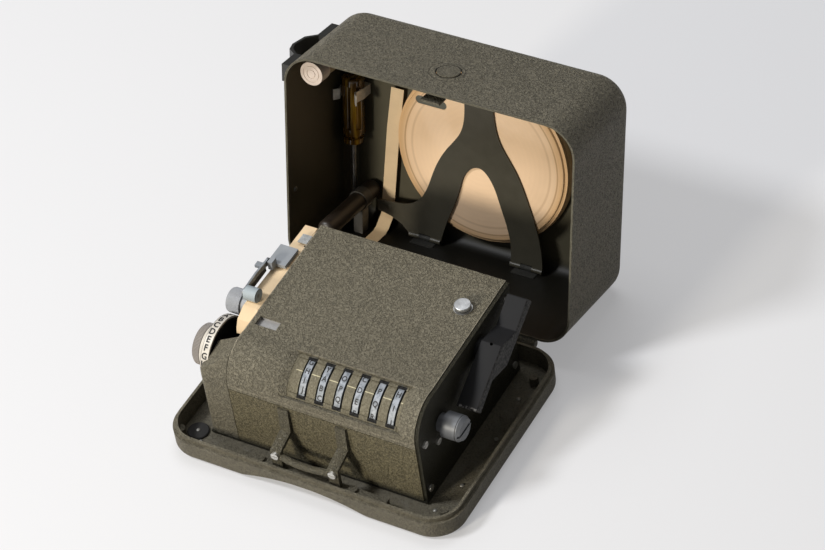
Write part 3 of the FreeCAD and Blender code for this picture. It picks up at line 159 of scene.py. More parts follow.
class Finish:
    """A Principled material under construction."""

    def __init__(self, name):
        self.material = bpy.data.materials.new(name)
        self.material.use_nodes = True
        self.tree = self.material.node_tree
        self.tree.nodes.clear()
        self.shader = self.tree.nodes.new("ShaderNodeBsdfPrincipled")
        self.surface = self.tree.nodes.new("ShaderNodeOutputMaterial").inputs["Surface"]
        self.tree.links.new(self.shader.outputs[0], self.surface)
        self.place = self.node("ShaderNodeTexCoord", output="Object")

    def node(self, kind, settings=None, sockets=None, output=0):
        """Adds a node: its settings first, then the values or links of its sockets."""
        made = self.tree.nodes.new(kind)
        for key, value in (settings or {}).items():
            if key == "stops":
                self.set_stops(made.color_ramp, value)
            else:
                setattr(made, key, value)
        for key, value in (sockets or {}).items():
            self.feed(made.inputs[key], value)
        return Term(self, made.outputs[output])

    def feed(self, socket, value):
        if isinstance(value, Term):
            self.tree.links.new(value.socket, socket)
        elif socket.type == "RGBA" and len(value) == 3:
            socket.default_value = (*value, 1.0)
        else:
            socket.default_value = value

    @staticmethod
    def set_stops(ramp, stops):
        while len(ramp.elements) < len(stops):
            ramp.elements.new(0.5)
        for element, (position, colour) in zip(ramp.elements, stops):
            element.position = position
            element.color = (*colour, 1.0)

    def noise(self, size, detail=3.0, roughness=0.5, place=None, warp=0.0):
        """Noise with features of about a size in metres."""
        return self.node("ShaderNodeTexNoise", {}, {
            "Vector": place or self.place, "Scale": 1.0 / size, "Detail": detail, "Roughness": roughness,
            "Distortion": warp})

    def stretched(self, scale):
        """Object coordinates scaled by axis, for patterns drawn out along one of them."""
        return self.node("ShaderNodeVectorMath", {"operation": "MULTIPLY"}, {0: self.place, 1: scale})

    def axes(self, place=None):
        """X, Y and Z of the coordinates, in metres."""
        made = self.node("ShaderNodeSeparateXYZ", {}, {0: place or self.place})
        outputs = made.socket.node.outputs
        return [Term(self, outputs[i]) for i in range(3)]

    def step(self, value, low, high):
        """0 below low, 1 above high, smooth between; low may be the larger."""
        return self.node("ShaderNodeMapRange", {"interpolation_type": "SMOOTHSTEP"},
                         {0: value, 1: low, 2: high, 3: 0.0, 4: 1.0})

    def band(self, value, centre, half, soft):
        """1 within half of a centre, fading over soft."""
        return self.step(abs(value - centre), half + soft, half)

    def within(self, value, low, high, soft):
        """1 from low to high, fading inward over soft."""
        return self.step(value, low, low + soft) * self.step(value, high, high - soft)

    def mix(self, factor, first, second):
        """The first colour where the factor is 0, the second where it is 1."""
        return self.node("ShaderNodeMix", {"data_type": "RGBA"}, {0: factor, 6: first, 7: second}, output=2)

    def shade(self, colour, factor):
        """A colour times a value."""
        return self.node("ShaderNodeVectorMath", {"operation": "SCALE"}, {0: colour, 3: factor})

    def bump(self, height, depth, strength=1.0, normal=None):
        sockets = {"Height": height, "Distance": depth, "Strength": strength}
        if normal:
            sockets["Normal"] = normal
        return self.node("ShaderNodeBump", {}, sockets)

    def done(self, **sockets):
        """Feeds the shader's sockets, named with underscores, and gives the material."""
        for key, value in sockets.items():
            self.feed(self.shader.inputs[key.replace("_", " ")], value)
        return self.material

    def paled(self, colour, share, under):
        """Lays a share of an even glow over the shader where it is seen; elsewhere it is a dull cloth."""
        camera, glossy, through = [self.node("ShaderNodeLightPath", output="Is %s Ray" % kind)
                                   for kind in ("Camera", "Glossy", "Transmission")]
        seen = camera.most(glossy).most(through)
        glow = self.node("ShaderNodeEmission", {}, {"Color": colour})
        plain = Term(self, self.shader.outputs[0])
        pale = self.node("ShaderNodeMixShader", {}, {0: share, 1: plain, 2: glow})
        cloth = self.node("ShaderNodeBsdfDiffuse", {}, {"Color": under})
        both = self.node("ShaderNodeMixShader", {}, {0: seen, 1: cloth, 2: pale})
        self.tree.links.new(both.socket, self.surface)
        return self.material


def radius_round(finish, node):
    """Distance from a node's middle across X, and the angle round it from +Y over +Z."""
    middle = centre_of(node)
    _, along_y, along_z = finish.axes()
    off_y, off_z = along_y - middle.y, along_z - middle.z
    return (off_y * off_y + off_z * off_z) ** 0.5, off_z.apply("ARCTAN2", off_z, off_y)


def distance_from(finish, point):
    """Distance of a place on the surface from a point."""
    off = finish.node("ShaderNodeVectorMath", {"operation": "SUBTRACT"}, {0: finish.place, 1: point})
    return finish.node("ShaderNodeVectorMath", {"operation": "LENGTH"}, {0: off}, output=1)


def waves(value, pitch):
    """A sine of a length, one wave to a pitch."""
    turns = value * (2 * math.pi / pitch)
    return turns.apply("SINE", turns)


def wrinkle_height(finish, grain):
    """Folds of wrinkle paint: worm-like ridges over a soft swell."""
    folds = finish.noise(grain * 1.35, 2.0, 0.6, warp=0.8)
    ridges = finish.step(abs(folds - 0.5), 0.17, 0.0)
    return ridges * 0.75 + finish.noise(grain * 0.7, 1.0) * 0.45


def aged(finish, colour, spread=0.22):
    """Paint whose tone drifts over the surface, with fine dirt in it."""
    drift = finish.noise(42 * MM, 3.0)
    fine = finish.noise(1.6 * MM, 3.0, 0.65)
    tone = 1.0 - spread / 2 + drift * spread
    return finish.shade(colour, tone * (0.86 + fine * 0.28))


def body_paint(name, colour, grain, rough=0.62, depth=0.8):
    """Olive grey wrinkle paint; depth is how far its folds differ in tone, as painted light and shade of the
    folds.
    """
    finish = Finish(name)
    height = wrinkle_height(finish, grain)
    # Fold ridges lighter and hollows darker: painted light and shade of the wrinkles.
    paint = finish.shade(aged(finish, colour), 1.08 - depth * 0.65 + height * depth)
    normal = finish.bump(height, 0.6 * MM)
    return finish.done(Base_Color=paint, Roughness=rough - height * 0.16, Normal=normal,
                       Specular_IOR_Level=0.3)


def shut_place(finish):
    """Coordinates of a piece in the lid as they are with the lid shut."""
    shift = LID_PIVOT - SHUT_TURN.to_3x3() @ LID_PIVOT
    return finish.node("ShaderNodeMapping", {"vector_type": "POINT"}, {
        "Vector": finish.place, "Location": shift, "Rotation": (LID_ANGLE, 0, 0)})


def drawn_lines(finish, colour, grain, dirt):
    """Lines drawn along one axis of a metal, its dull patches, and its tone with both."""
    lines = finish.noise(0.8 * MM, 4.0, 0.6, finish.stretched(grain))
    patch = finish.step(finish.noise(5 * MM, 4.0, 0.65), 0.35, 0.7)
    return lines, patch, finish.shade(colour, (0.88 + lines * 0.24) * (1.0 - patch * dirt))


def clip_steel():
    """Bright spring steel, dark on the clip of the oil tube behind."""
    tube_clip_y = 20 * MM
    finish = Finish("clip spring steel")
    _, y, _ = finish.axes(shut_place(finish))
    lines, patch, tone = drawn_lines(finish, (0.78, 0.75, 0.69), (6.0, 1.0, 1.0), 0.3)
    behind = finish.step(y, tube_clip_y, tube_clip_y + 4 * MM)
    tone = finish.mix(behind * 0.93, tone, (0.012, 0.011, 0.010))
    return finish.done(Base_Color=tone, Metallic=0.35 - behind * 0.3, Roughness=0.34 + patch * 0.2,
                       Normal=finish.bump(lines, 0.02 * MM, 0.3))


def lid_paint(paints, sizes):
    """Wrinkle paint outside, smooth olive black inside with painted shade by the hinge and painted light on
    the roof, a rubbed rim between.
    """
    finish = Finish("lid paint")
    x, y, z = finish.axes(shut_place(finish))
    half_x, half_y, corner, top, edge = 92.5 * MM, 71.0 * MM, 19.0 * MM, 84.1 * MM, 9.0 * MM
    lock_z, ring_radius, swage_radius = 38.8 * MM, 7.2 * MM, 10.4 * MM
    front_y, hinge_wall_y, roof_z, rim_z = -69.0 * MM, 68.0 * MM, 80.0 * MM, 13.3 * MM

    def outside_of(first, second, radius):
        """Signed distance to a quarter round of a corner, from the distances to its two sides."""
        over_first, over_second = (first + radius).most(0.0), (second + radius).most(0.0)
        far = (over_first * over_first + over_second * over_second) ** 0.5
        return far + (first + radius).most(second + radius).least(0.0) - radius

    side = outside_of(abs(x) - half_x, abs(y) - half_y, corner)
    skin = outside_of(side, z - top, edge)
    inside = finish.step(skin, -0.45 * MM, -0.75 * MM)
    up = z - lock_z
    button = (x * x + up * up) ** 0.5
    front = finish.step(y, front_y, front_y - 1.0 * MM)
    ring = finish.band(button, ring_radius, 0.35 * MM, 0.25 * MM) * front
    swage = finish.band(button, swage_radius, 0.5 * MM, 0.7 * MM) * front
    height = wrinkle_height(finish, sizes.grain)
    # Fold ridges lighter and hollows darker: painted light and shade of the wrinkles.
    outer = finish.shade(aged(finish, tuple(paints.case)), 0.48 + height * 1.25)
    outer = finish.mix(ring, outer, (0.006, 0.006, 0.005))
    # Painted shade: the inner wall by the hinge, the floor of the open lid, darkened to 12 %; painted light:
    # the inner roof made 70 % brighter.
    painted_shade_and_light = 1.0 - finish.step(y, hinge_wall_y - 8 * MM, hinge_wall_y) * 0.88
    painted_shade_and_light = painted_shade_and_light * (1.0 + finish.step(z, roof_z, roof_z + 2.0 * MM) * 0.7)
    inner = finish.shade(tuple(paints.inside), (0.75 + finish.noise(30 * MM, 4.0) * 0.5) * painted_shade_and_light)
    paint = finish.mix(inside, outer, inner)
    rim = finish.step(z, rim_z + 0.6 * MM, rim_z)
    rim = rim * (0.35 + 0.4 * finish.step(finish.noise(5 * MM, 3.0), 0.35, 0.6))
    paint = finish.mix(rim, paint, (0.15, 0.14, 0.105))
    rough = 0.62 - height * 0.14
    rough = rough + inside * (0.52 - rough)
    outward = 1.0 - inside
    normal = finish.bump((height - ring * 3.0 - swage * 1.2) * outward, 0.8 * MM)
    swell = finish.noise(26 * MM, 2.0)
    normal = finish.bump(swell * inside, 0.5 * MM, 0.25, normal)
    return finish.done(Base_Color=paint, Roughness=rough, Normal=normal, Specular_IOR_Level=0.3)


def tray_paint(paints, sizes):
    """Case paint with a greyer, scuffed floor and a rubbed lip."""
    finish = Finish("tray paint")
    _, _, z = finish.axes()
    floor_z, lip_z, groove_z = 2.4 * MM, 14.6 * MM, 12.5 * MM
    height = wrinkle_height(finish, sizes.grain)
    # Fold ridges lighter and hollows darker: painted light and shade of the wrinkles.
    paint = finish.shade(aged(finish, tuple(paints.case), 0.3), 0.60 + height * 0.62)
    floor = finish.step(z, floor_z + 0.8 * MM, floor_z)
    scuff = finish.step(finish.noise(9 * MM, 5.0, 0.65, warp=0.8), 0.50, 0.68)
    paint = finish.mix(floor * scuff * 0.45, paint, (0.17, 0.16, 0.135))
    lip = finish.step(z, lip_z, lip_z + 0.5 * MM) + finish.band(z, groove_z, 0.25 * MM, 0.3 * MM)
    rubbed = lip.least(1.0) * finish.step(finish.noise(6 * MM, 4.0, 0.6), 0.40, 0.64)
    paint = finish.mix(rubbed * 0.35, paint, (0.24, 0.22, 0.165))
    normal = finish.bump(height * (1.0 - floor * 0.6), 0.5 * MM)
    return finish.done(Base_Color=paint, Roughness=0.6 - floor * scuff * 0.12, Normal=normal,
                       Specular_IOR_Level=0.35)


def cover_edges(finish):
    """Paler paint where hands rub the cover's side edges, and a painted highlight along the fold above the
    front plate.
    """
    left, right, fold_y, fold_z = -54.0 * MM, 65.0 * MM, -49.0 * MM, 48.2 * MM
    x, y, z = finish.axes()
    sides = finish.band(x, left, 0.3 * MM, 0.5 * MM).most(finish.band(x, right, 0.2 * MM, 0.4 * MM))
    high = finish.step(z, 60.0 * MM, 66.0 * MM)
    # The fold's paler band is a painted highlight.
    fold = finish.band(z, fold_z, 0.3 * MM, 0.8 * MM) * finish.step(y, fold_y, fold_y - 0.6 * MM)
    return (sides * high * 0.7).most(fold * 0.35)


def painted_slot_shade(finish, x, angle):
    """Painted shade at the black ends of the six slots: 1 beside a wheel, between the rounded slot ends."""
    first, last = centre_of("key_wheel_1"), centre_of("key_wheel_6")
    pitch = (last.x - first.x) / 5
    along_row = x - first.x
    nearest = along_row.apply("WRAP", along_row, pitch / 2, -pitch / 2)
    across = finish.step(abs(nearest), SLOT_HALF_WIDTH + 0.2 * MM, SLOT_HALF_WIDTH)
    middle, half = math.radians((SLOT_TOP + SLOT_FOOT) / 2), math.radians((SLOT_FOOT - SLOT_TOP) / 2)
    return across * finish.band(angle, middle, half, 0.006)


def cover_paint(paints, sizes, name="cover paint", slot_ends=False):
    """Body paint with the cream index dashes across the recess between its slots."""
    finish = Finish(name)
    height = wrinkle_height(finish, sizes.grain)
    # Fold ridges lighter and hollows darker: painted light and shade of the wrinkles.
    paint = finish.shade(aged(finish, tuple(paints.body)), 0.56 + height * 0.96)
    radius, angle = radius_round(finish, "key_wheel_1")
    recess_radius, rim_radius, rim_angle = 22.2 * MM, 24.1 * MM, math.radians(93.5)
    recess_left, recess_right, row_left, row_right = -24.0 * MM, 62.0 * MM, -14.6 * MM, 53.0 * MM
    recess = finish.step(radius, recess_radius + 0.4 * MM, recess_radius)
    # Paler edges: rubbed paint on the sides and recess rim, and a painted highlight on the fold.
    rubbed_and_highlit = cover_edges(finish)
    x, _, _ = finish.axes()
    rim = finish.band(radius, rim_radius, 0.2 * MM, 0.5 * MM)
    inner = finish.within(x, recess_left, recess_right, 2.0 * MM)
    upper = finish.band(angle, rim_angle, 0.012, 0.02)
    rubbed_and_highlit = rubbed_and_highlit.most(rim * upper * inner * 0.35)
    rubbed_and_highlit = rubbed_and_highlit * finish.step(finish.noise(2.2 * MM, 4.0, 0.7), 0.30, 0.58)
    paint = finish.mix(rubbed_and_highlit, paint, (0.40, 0.36, 0.28))
    paint = finish.mix(recess * 0.5, paint, (0.150, 0.132, 0.082))
    dash = finish.band(angle, math.radians(INDEX_LINE), 0.009, 0.004) * recess
    dash = dash * finish.within(x, row_left, row_right, 0.4 * MM)
    paint = finish.mix(dash * 0.9, paint, (0.62, 0.57, 0.38))
    if slot_ends:
        # Painted shade: the slot ends black where the gap above each wheel falls in shadow.
        paint = finish.mix(painted_slot_shade(finish, x, angle), paint, (0.006, 0.006, 0.006))
    normal = finish.bump(height * (1.0 - recess * 0.6), 0.6 * MM)
    return finish.done(Base_Color=paint, Roughness=0.62 - height * 0.16, Normal=normal,
                       Specular_IOR_Level=0.3)


def steel(name, colour, rough=0.36, grain=(6.0, 1.0, 1.0), metal=0.9, dirt=0.35):
    """Worn metal with drawn lines along one axis and dull patches."""
    finish = Finish(name)
    lines, patch, tone = drawn_lines(finish, colour, grain, dirt)
    return finish.done(Base_Color=tone, Metallic=metal, Roughness=rough + patch * 0.18 + lines * 0.08,
                       Normal=finish.bump(lines, 0.02 * MM, 0.3))


def moulding(name, colour, rough=0.38, wear=None, metal=0.0, scuffs=0.12, gloss=0.5):
    """Moulded plastic or rubber with a fine skin, small scratches and, where given, pale wear."""
    finish = Finish(name)
    skin = finish.noise(0.25 * MM, 2.0)
    cloud = finish.noise(7 * MM, 4.0, 0.6)
    tone = finish.shade(colour, 0.82 + cloud * 0.36)
    lines = finish.noise(0.5 * MM, 5.0, 0.7, finish.stretched((1.0, 5.0, 5.0)), 0.3)
    scratch = finish.step(lines, 0.66, 0.74)
    tone = finish.mix(scratch * scuffs, tone, (0.20, 0.20, 0.20))
    if wear is not None:
        rubbed = wear(finish) * finish.step(finish.noise(1.5 * MM, 4.0, 0.7), 0.40, 0.62)
        tone = finish.mix(rubbed, tone, (0.30, 0.29, 0.28))
    return finish.done(Base_Color=tone, Metallic=metal, Roughness=rough + cloud * 0.14 + scratch * 0.1,
                       Specular_IOR_Level=gloss, Normal=finish.bump(skin, 0.03 * MM, 0.35))


def handle_wear(finish):
    """Pale rubbing at the handle's front end and, faintly, along its outer edges."""
    low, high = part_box("drive_handle")
    x, y, _ = finish.axes()
    end = finish.step(y, low.y + 1.3 * MM, low.y + 0.3 * MM)
    flank = finish.band(x, high.x, 0.15 * MM, 0.35 * MM)
    return end.most(flank * 0.22)


def lacquer(paints):
    """Warm cream lacquer of the reel with faint rings, painted shade along its two beads, and handling marks.
    """
    finish = Finish("reel lacquer")
    edge_radius, outer_radius, inner_radius = 53.0 * MM, 50.2 * MM, 45.5 * MM
    radius = distance_from(finish, centre_of("reel_front_dish"))
    rings = waves(radius, 3.1 * MM)
    cloud = finish.noise(24 * MM, 4.0, 0.55)
    tone = finish.shade(tuple(paints.cream), 0.90 + cloud * 0.2 + rings * 0.008)
    warm = finish.step(radius, edge_radius - 5 * MM, edge_radius)
    tone = finish.mix(warm * 0.55, tone, (0.66, 0.38, 0.14))
    # Dark lines at the two beads near the rim: painted shade of the beads.
    outer_ring = finish.band(radius, outer_radius, 0.25 * MM, 0.45 * MM)
    inner_ring = finish.band(radius, inner_radius, 0.2 * MM, 0.9 * MM)
    tone = finish.mix(outer_ring * 0.55 + inner_ring * 0.22, tone, (0.34, 0.19, 0.08))
    stain = finish.step(finish.noise(11 * MM, 5.0, 0.7), 0.62, 0.78)
    tone = finish.mix(stain * 0.12, tone, (0.48, 0.30, 0.15))
    return finish.done(Base_Color=tone, Roughness=0.34 + stain * 0.1, Coat_Weight=0.25,
                       Normal=finish.bump(rings + cloud * 4.0, 0.03 * MM, 0.3))


def paper(paints, name="paper tape", core=None, shade=1.0):
    """Yellowed paper with fibres; core is the point that its windings lie round; shade scales its tone,
    painted light where it is above 1.
    """
    finish = Finish(name)
    fibres = finish.noise(0.5 * MM, 5.0, 0.7)
    cloud = finish.noise(9 * MM, 3.0)
    tone = finish.shade(tuple(paints.paper), (0.84 + cloud * 0.22 + fibres * 0.12) * shade)
    if core is not None:
        edge = waves(distance_from(finish, core), 0.35 * MM)
        tone = finish.mix(finish.step(edge, 0.2, 0.9) * 0.35, tone, (0.36, 0.25, 0.14))
    return finish.done(Base_Color=tone, Roughness=0.85, Normal=finish.bump(fibres, 0.04 * MM, 0.4))


def rim_metal():
    """Blue grey metal of the key wheels: worn, paler rims and darker hubs."""
    finish = Finish("key wheel metal")
    rim_radius, hub_radius = 21.5 * MM, 17.9 * MM
    radius, _ = radius_round(finish, "key_wheel_1")
    cloud = finish.noise(2.4 * MM, 4.0, 0.65)
    tone = finish.shade((0.15, 0.168, 0.19), 0.60 + cloud * 0.8)
    rim = finish.step(radius, rim_radius, rim_radius + 0.3 * MM)
    tone = finish.mix(rim * finish.step(cloud, 0.40, 0.62) * 0.75, tone, (0.31, 0.33, 0.365))
    hub = finish.step(radius, hub_radius, hub_radius - 0.5 * MM)
    tone = finish.mix(hub * 0.7, tone, (0.10, 0.105, 0.105))
    lines = finish.noise(0.4 * MM, 3.0, 0.6, finish.stretched((1.0, 0.25, 0.25)))
    return finish.done(Base_Color=tone, Metallic=0.35, Roughness=0.42 + cloud * 0.2,
                       Normal=finish.bump(lines, 0.02 * MM, 0.3))


def amber_plastic():
    """Clear amber grip: deep brown middle, warm light along its flutes."""
    finish = Finish("amber plastic")
    streak = finish.noise(2.6 * MM, 1.0, 0.4, finish.stretched((1.0, 0.35, 0.05)))
    stops = [(0.34, (0.040, 0.018, 0.003)), (0.54, (0.15, 0.075, 0.006)), (0.72, (0.46, 0.27, 0.03))]
    tone = finish.node("ShaderNodeValToRGB", {"stops": stops}, {0: streak})
    return finish.done(Base_Color=tone, Roughness=0.14 + streak * 0.06, Coat_Weight=0.5,
                       Normal=finish.bump(streak, 0.03 * MM, 0.2))


def disc_enamel():
    """Warm white rim of the lettered disc, with painted shade: black inside its hollow, and a dark line at
    the gap near its outer face.
    """
    finish = Finish("disc enamel")
    _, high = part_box("indicating_disc")
    line_x, step_x, rim_radius = high.x - 4.95 * MM, high.x - 4.6 * MM, 19.6 * MM
    radius, _ = radius_round(finish, "indicating_disc")
    x, _, _ = finish.axes()
    cloud = finish.noise(5 * MM, 4.0, 0.6)
    skin = finish.noise(0.3 * MM, 2.0)
    tone = finish.shade((0.60, 0.56, 0.50), 0.86 + cloud * 0.24)
    # Painted shade: the dark line where the gap beside the rim's edge falls in shadow.
    line = finish.band(x, line_x, 0.14 * MM, 0.16 * MM)
    tone = finish.mix(line * 0.8, tone, (0.05, 0.045, 0.04))
    # Painted shade: the hollow inside the rim, facing the machine, made black.
    painted_hollow_shade = finish.step(radius, rim_radius, rim_radius - 0.3 * MM)
    painted_hollow_shade = painted_hollow_shade * finish.step(x, step_x, step_x + 0.4 * MM)
    tone = finish.mix(painted_hollow_shade, tone, (0.010, 0.010, 0.010))
    return finish.done(Base_Color=tone, Roughness=0.34 + cloud * 0.14,
                       Normal=finish.bump(skin, 0.03 * MM, 0.35))


def window_glass():
    """Hazy sheet over the counter."""
    finish = Finish("window sheet")
    haze = finish.noise(2.5 * MM, 4.0, 0.6)
    return finish.done(Base_Color=(0.55, 0.54, 0.53), Roughness=0.14 + haze * 0.25,
                       Alpha=0.42 + haze * 0.2, Normal=finish.bump(haze, 0.02 * MM, 0.2))


def knob_metal(name, colour, groove_x, groove_half):
    """Grey turned knob with a dark ring cut near one end."""
    finish = Finish(name)
    x, _, _ = finish.axes()
    cloud = finish.noise(3 * MM, 4.0, 0.6)
    turned = finish.noise(0.35 * MM, 2.0, 0.5, finish.stretched((1.0, 0.15, 0.15)))
    tone = finish.shade(colour, 0.80 + cloud * 0.28 + turned * 0.12)
    groove = finish.band(x, groove_x, groove_half, 0.12 * MM)
    tone = finish.mix(groove, tone, (0.03, 0.03, 0.03))
    return finish.done(Base_Color=tone, Metallic=0.25, Roughness=0.42 + cloud * 0.12,
                       Normal=finish.bump(turned - groove * 4.0, 0.03 * MM, 0.4))


# ---- meshes
def placed(name, data):
    """A new object in the scene, at the origin."""
    obj = bpy.data.objects.new(name, data)
    bpy.context.scene.collection.objects.link(obj)
    return obj


def mesh_from(name, made):
    """A mesh from built faces."""
    mesh = bpy.data.meshes.new(name)
    made.to_mesh(mesh)
    made.free()
    return mesh


def finished_mesh(name, made):
    """A mesh from built faces, with doubles merged and all faces outward."""
    bmesh.ops.remove_doubles(made, verts=made.verts[:], dist=0.001 * MM)
    bmesh.ops.recalc_face_normals(made, faces=made.faces[:])
    return mesh_from(name, made)


def dress(nodes, material, bevel=0.0, sharp=32.0):
    """Gives CAD nodes a material, soft shading between flat faces and, where asked, eased edges."""
    for name in nodes.split():
        obj = NODES[name]
        obj.data.materials.clear()
        obj.data.materials.append(material)
        obj.data.polygons.foreach_set("use_smooth", [True] * len(obj.data.polygons))
        weld = obj.modifiers.new("join the triangles", "WELD")
        weld.merge_threshold = 0.002 * MM
        if bevel:
            flat = obj.modifiers.new("whole faces", "DECIMATE")
            flat.decimate_type = "DISSOLVE"
            flat.angle_limit = math.radians(0.6)
            ease = obj.modifiers.new("eased edges", "BEVEL")
            ease.width = bevel
            ease.segments = 2
            ease.limit_method = "ANGLE"
            ease.angle_limit = math.radians(sharp)
            ease.harden_normals = True
        else:
            split = obj.modifiers.new("sharp edges", "EDGE_SPLIT")
            split.split_angle = math.radians(sharp)


def new_piece(name, mesh, material, body):
    """Puts a finished mesh into the scene as a piece that rides on a body."""
    obj = placed(name, mesh)
    mesh.materials.clear()
    mesh.materials.append(material)
    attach(obj, body)


def evaluated(holder):
    """The plain mesh that an object evaluates to; the object is removed."""
    mesh = bpy.data.meshes.new_from_object(holder.evaluated_get(bpy.context.evaluated_depsgraph_get()))
    bpy.data.objects.remove(holder)
    return mesh


def glyph(character, height):
    """A letter's flat mesh, centred, cut into strips so that it can be bent round a wheel."""
    slices, weight, capital = 6, 0.028, 0.7
    curve = bpy.data.curves.new("glyph", "FONT")
    curve.body = character
    curve.resolution_u = 3
    curve.offset = weight
    mesh = evaluated(placed("glyph", curve))
    bpy.data.curves.remove(curve)
    made = bmesh.new()
    made.from_mesh(mesh)
    bpy.data.meshes.remove(mesh)
    scale = height / capital
    low_x, high_x = min(v.co.x for v in made.verts), max(v.co.x for v in made.verts)
    for vert in made.verts:
        vert.co = Vector(((vert.co.x - (low_x + high_x) / 2) * scale, (vert.co.y - capital / 2) * scale, 0))
    for i in range(1, slices):
        cut = Vector((0, height * (i / slices - 0.5), 0))
        bmesh.ops.bisect_plane(made, geom=made.verts[:] + made.edges[:] + made.faces[:], plane_co=cut,
                               plane_no=(0, 1, 0))
    return made


def wheel_lettering(name, characters, centre, radius, x, height, squeeze, start):
    """Letters bent round an X-parallel axis, upright for a reader in front of the machine."""
    whole = bmesh.new()
    rise = bpy.context.scene.cipher_sizes.letter_rise
    for i, character in enumerate(characters):
        letter = glyph(character, height)
        middle = start + 2 * math.pi * i / len(characters)
        for vert in letter.verts:
            angle = middle - vert.co.y / radius
            reach = radius + rise
            vert.co = Vector((x + vert.co.x * squeeze, centre.y + reach * math.cos(angle),
                              centre.z + reach * math.sin(angle)))
        mesh = mesh_from("letter", letter)
        whole.from_mesh(mesh)
        bpy.data.meshes.remove(mesh)
    return mesh_from(name, whole)


def arc_strip(made, centre, x0, x1, inner, outer, start, stop):
    """Adds a thin curved strip round an X-parallel axis, between two angles in degrees."""
    steps = 8
    rows = []
    for i in range(steps + 1):
        angle = math.radians(start + (stop - start) * i / steps)
        rows.append([made.verts.new((x, centre.y + r * math.cos(angle), centre.z + r * math.sin(angle)))
                     for x, r in ((x0, inner), (x1, inner), (x1, outer), (x0, outer))])
    for near, far in zip(rows, rows[1:]):
        for i in range(4):
            made.faces.new((near[i], near[(i + 1) % 4], far[(i + 1) % 4], far[i]))
    made.faces.new(rows[0])
    made.faces.new(rows[-1][::-1])


def slab(name, near, far):
    """A closed slab between two like outlines."""
    made = bmesh.new()
    near, far = [made.verts.new(point) for point in near], [made.verts.new(point) for point in far]
    made.faces.new(near)
    made.faces.new(far[::-1])
    for i in range(len(near)):
        after = (i + 1) % len(near)
        made.faces.new((near[i], far[i], far[after], near[after]))
    return finished_mesh(name, made)


def profile_slab(name, outline, x0, x1):
    """A flat outline in the YZ plane, in millimetres, given a thickness along X."""
    return slab(name, *([Vector((x, y, z)) * MM for y, z in outline] for x in (x0, x1)))


def finger_slot_shade_sheet():
    """Grey sheet in the stadium-shaped finger slot of the reel's front dish: painted shade in the slot."""
    shut = OPEN_LID.inverted()
    face_z = min((shut @ vert.co).z for vert in NODES["reel_front_dish"].data.vertices)
    right, left, slot_y, end_radius = -23.2, -38.5, -25.3, 2.55
    faces = ([], [])
    for x, start in ((right, -90), (left, 90)):
        for i in range(13):
            angle = math.radians(start + 15 * i)
            off = Vector((math.cos(angle), math.sin(angle), 0)) * end_radius
            for face, depth in zip(faces, (0.2 * MM, 0.5 * MM)):
                face.append(OPEN_LID @ ((Vector((x, slot_y, 0)) + off) * MM + Vector((0, 0, face_z + depth))))
    return slab("finger_slot_shade_sheet", *faces)


def tape_margin():
    """The tape's right margin, out to the cover's edge, from the roller's dip to the inlet clip."""
    _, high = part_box("paper_tape")
    cover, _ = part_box("top_cover")
    clip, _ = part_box("inlet_clip")
    thickness = 0.3
    path = ((-19.4, 60.5), (-16.9, 65.3), (-9.6, 69.1), (clip.y / MM - 0.5, 69.1))
    outline = list(path) + [(y, z + thickness) for y, z in reversed(path)]
    return profile_slab("tape_margin", outline, high.x / MM, cover.x / MM - 0.5)


def arm_web():
    """Web that hangs from the pressure arm to just over the tape, black as painted shade of the arm's
    shadowed face.
    """
    low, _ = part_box("pressure_roller")
    clearance, thickness = 0.4, 0.7
    x1 = low.x / MM - clearance
    outline = ((2.0, 70.0), (2.0, 74.2), (18.5, 72.9), (18.5, 70.4))
    return profile_slab("pressure_arm_web", outline, x1 - thickness, x1)


def slot_end_strips():
    """Strips across the recess that close each slot short of the recess's edges."""
    first, last = centre_of("key_wheel_1"), centre_of("key_wheel_6")
    clearance, thickness, left_end, right_end = 0.12 * MM, 0.2 * MM, 8.3 * MM, 3.9 * MM
    top_reach, foot_reach = 4.9, 5.4
    x0, x1, inner = first.x - left_end, last.x + right_end, WHEEL_RADIUS + clearance
    made = bmesh.new()
    for start, stop in ((RECESS_TOP, SLOT_TOP + top_reach), (SLOT_FOOT - foot_reach, RECESS_FOOT)):
        arc_strip(made, first, x0, x1, inner, inner + thickness, start, stop)
    return finished_mesh("recess_slot_ends", made)


# ---- node trees for what repeats
class Repeats:
    """A Geometry Nodes tree with named inputs, run once and turned into a plain mesh."""

    def __init__(self, name):
        self.tree = bpy.data.node_groups.new(name, "GeometryNodeTree")
        self.tree.interface.new_socket("Geometry", in_out="INPUT", socket_type="NodeSocketGeometry")
        self.tree.interface.new_socket("Geometry", in_out="OUTPUT", socket_type="NodeSocketGeometry")
        self.source = self.tree.nodes.new("NodeGroupInput")
        self.values = {}

    def input(self, name, kind, value):
        """Adds a named input with its value; gives the socket that nodes link to."""
        made = self.tree.interface.new_socket(name, in_out="INPUT", socket_type="NodeSocket" + kind)
        self.values[made.identifier] = value
        return self.source.outputs[made.identifier]

    def node(self, kind, sockets):
        """Adds a node with the values or links of its sockets; gives its first output."""
        made = self.tree.nodes.new(kind)
        for key, value in sockets.items():
            if isinstance(value, bpy.types.NodeSocket):
                self.tree.links.new(value, made.inputs[key])
            else:
                made.inputs[key].default_value = value
        return made.outputs[0]

    def mesh(self, instances, base=None):
        """Ends the tree in Realize Instances and Set Material and gives the evaluated mesh."""
        material = self.input("Material", "Material", None)
        real = self.node("GeometryNodeRealizeInstances", {0: instances})
        painted = self.node("GeometryNodeSetMaterial", {0: real, "Material": material})
        sink = self.tree.nodes.new("NodeGroupOutput")
        self.tree.links.new(painted, sink.inputs[0])
        holder = placed("holder", base or bpy.data.meshes.new("holder"))
        modifier = holder.modifiers.new("repeats", "NODES")
        modifier.node_group = self.tree
        for identifier, value in self.values.items():
            if value is not None:
                modifier[identifier] = value
        bpy.context.view_layer.update()
        return evaluated(holder)


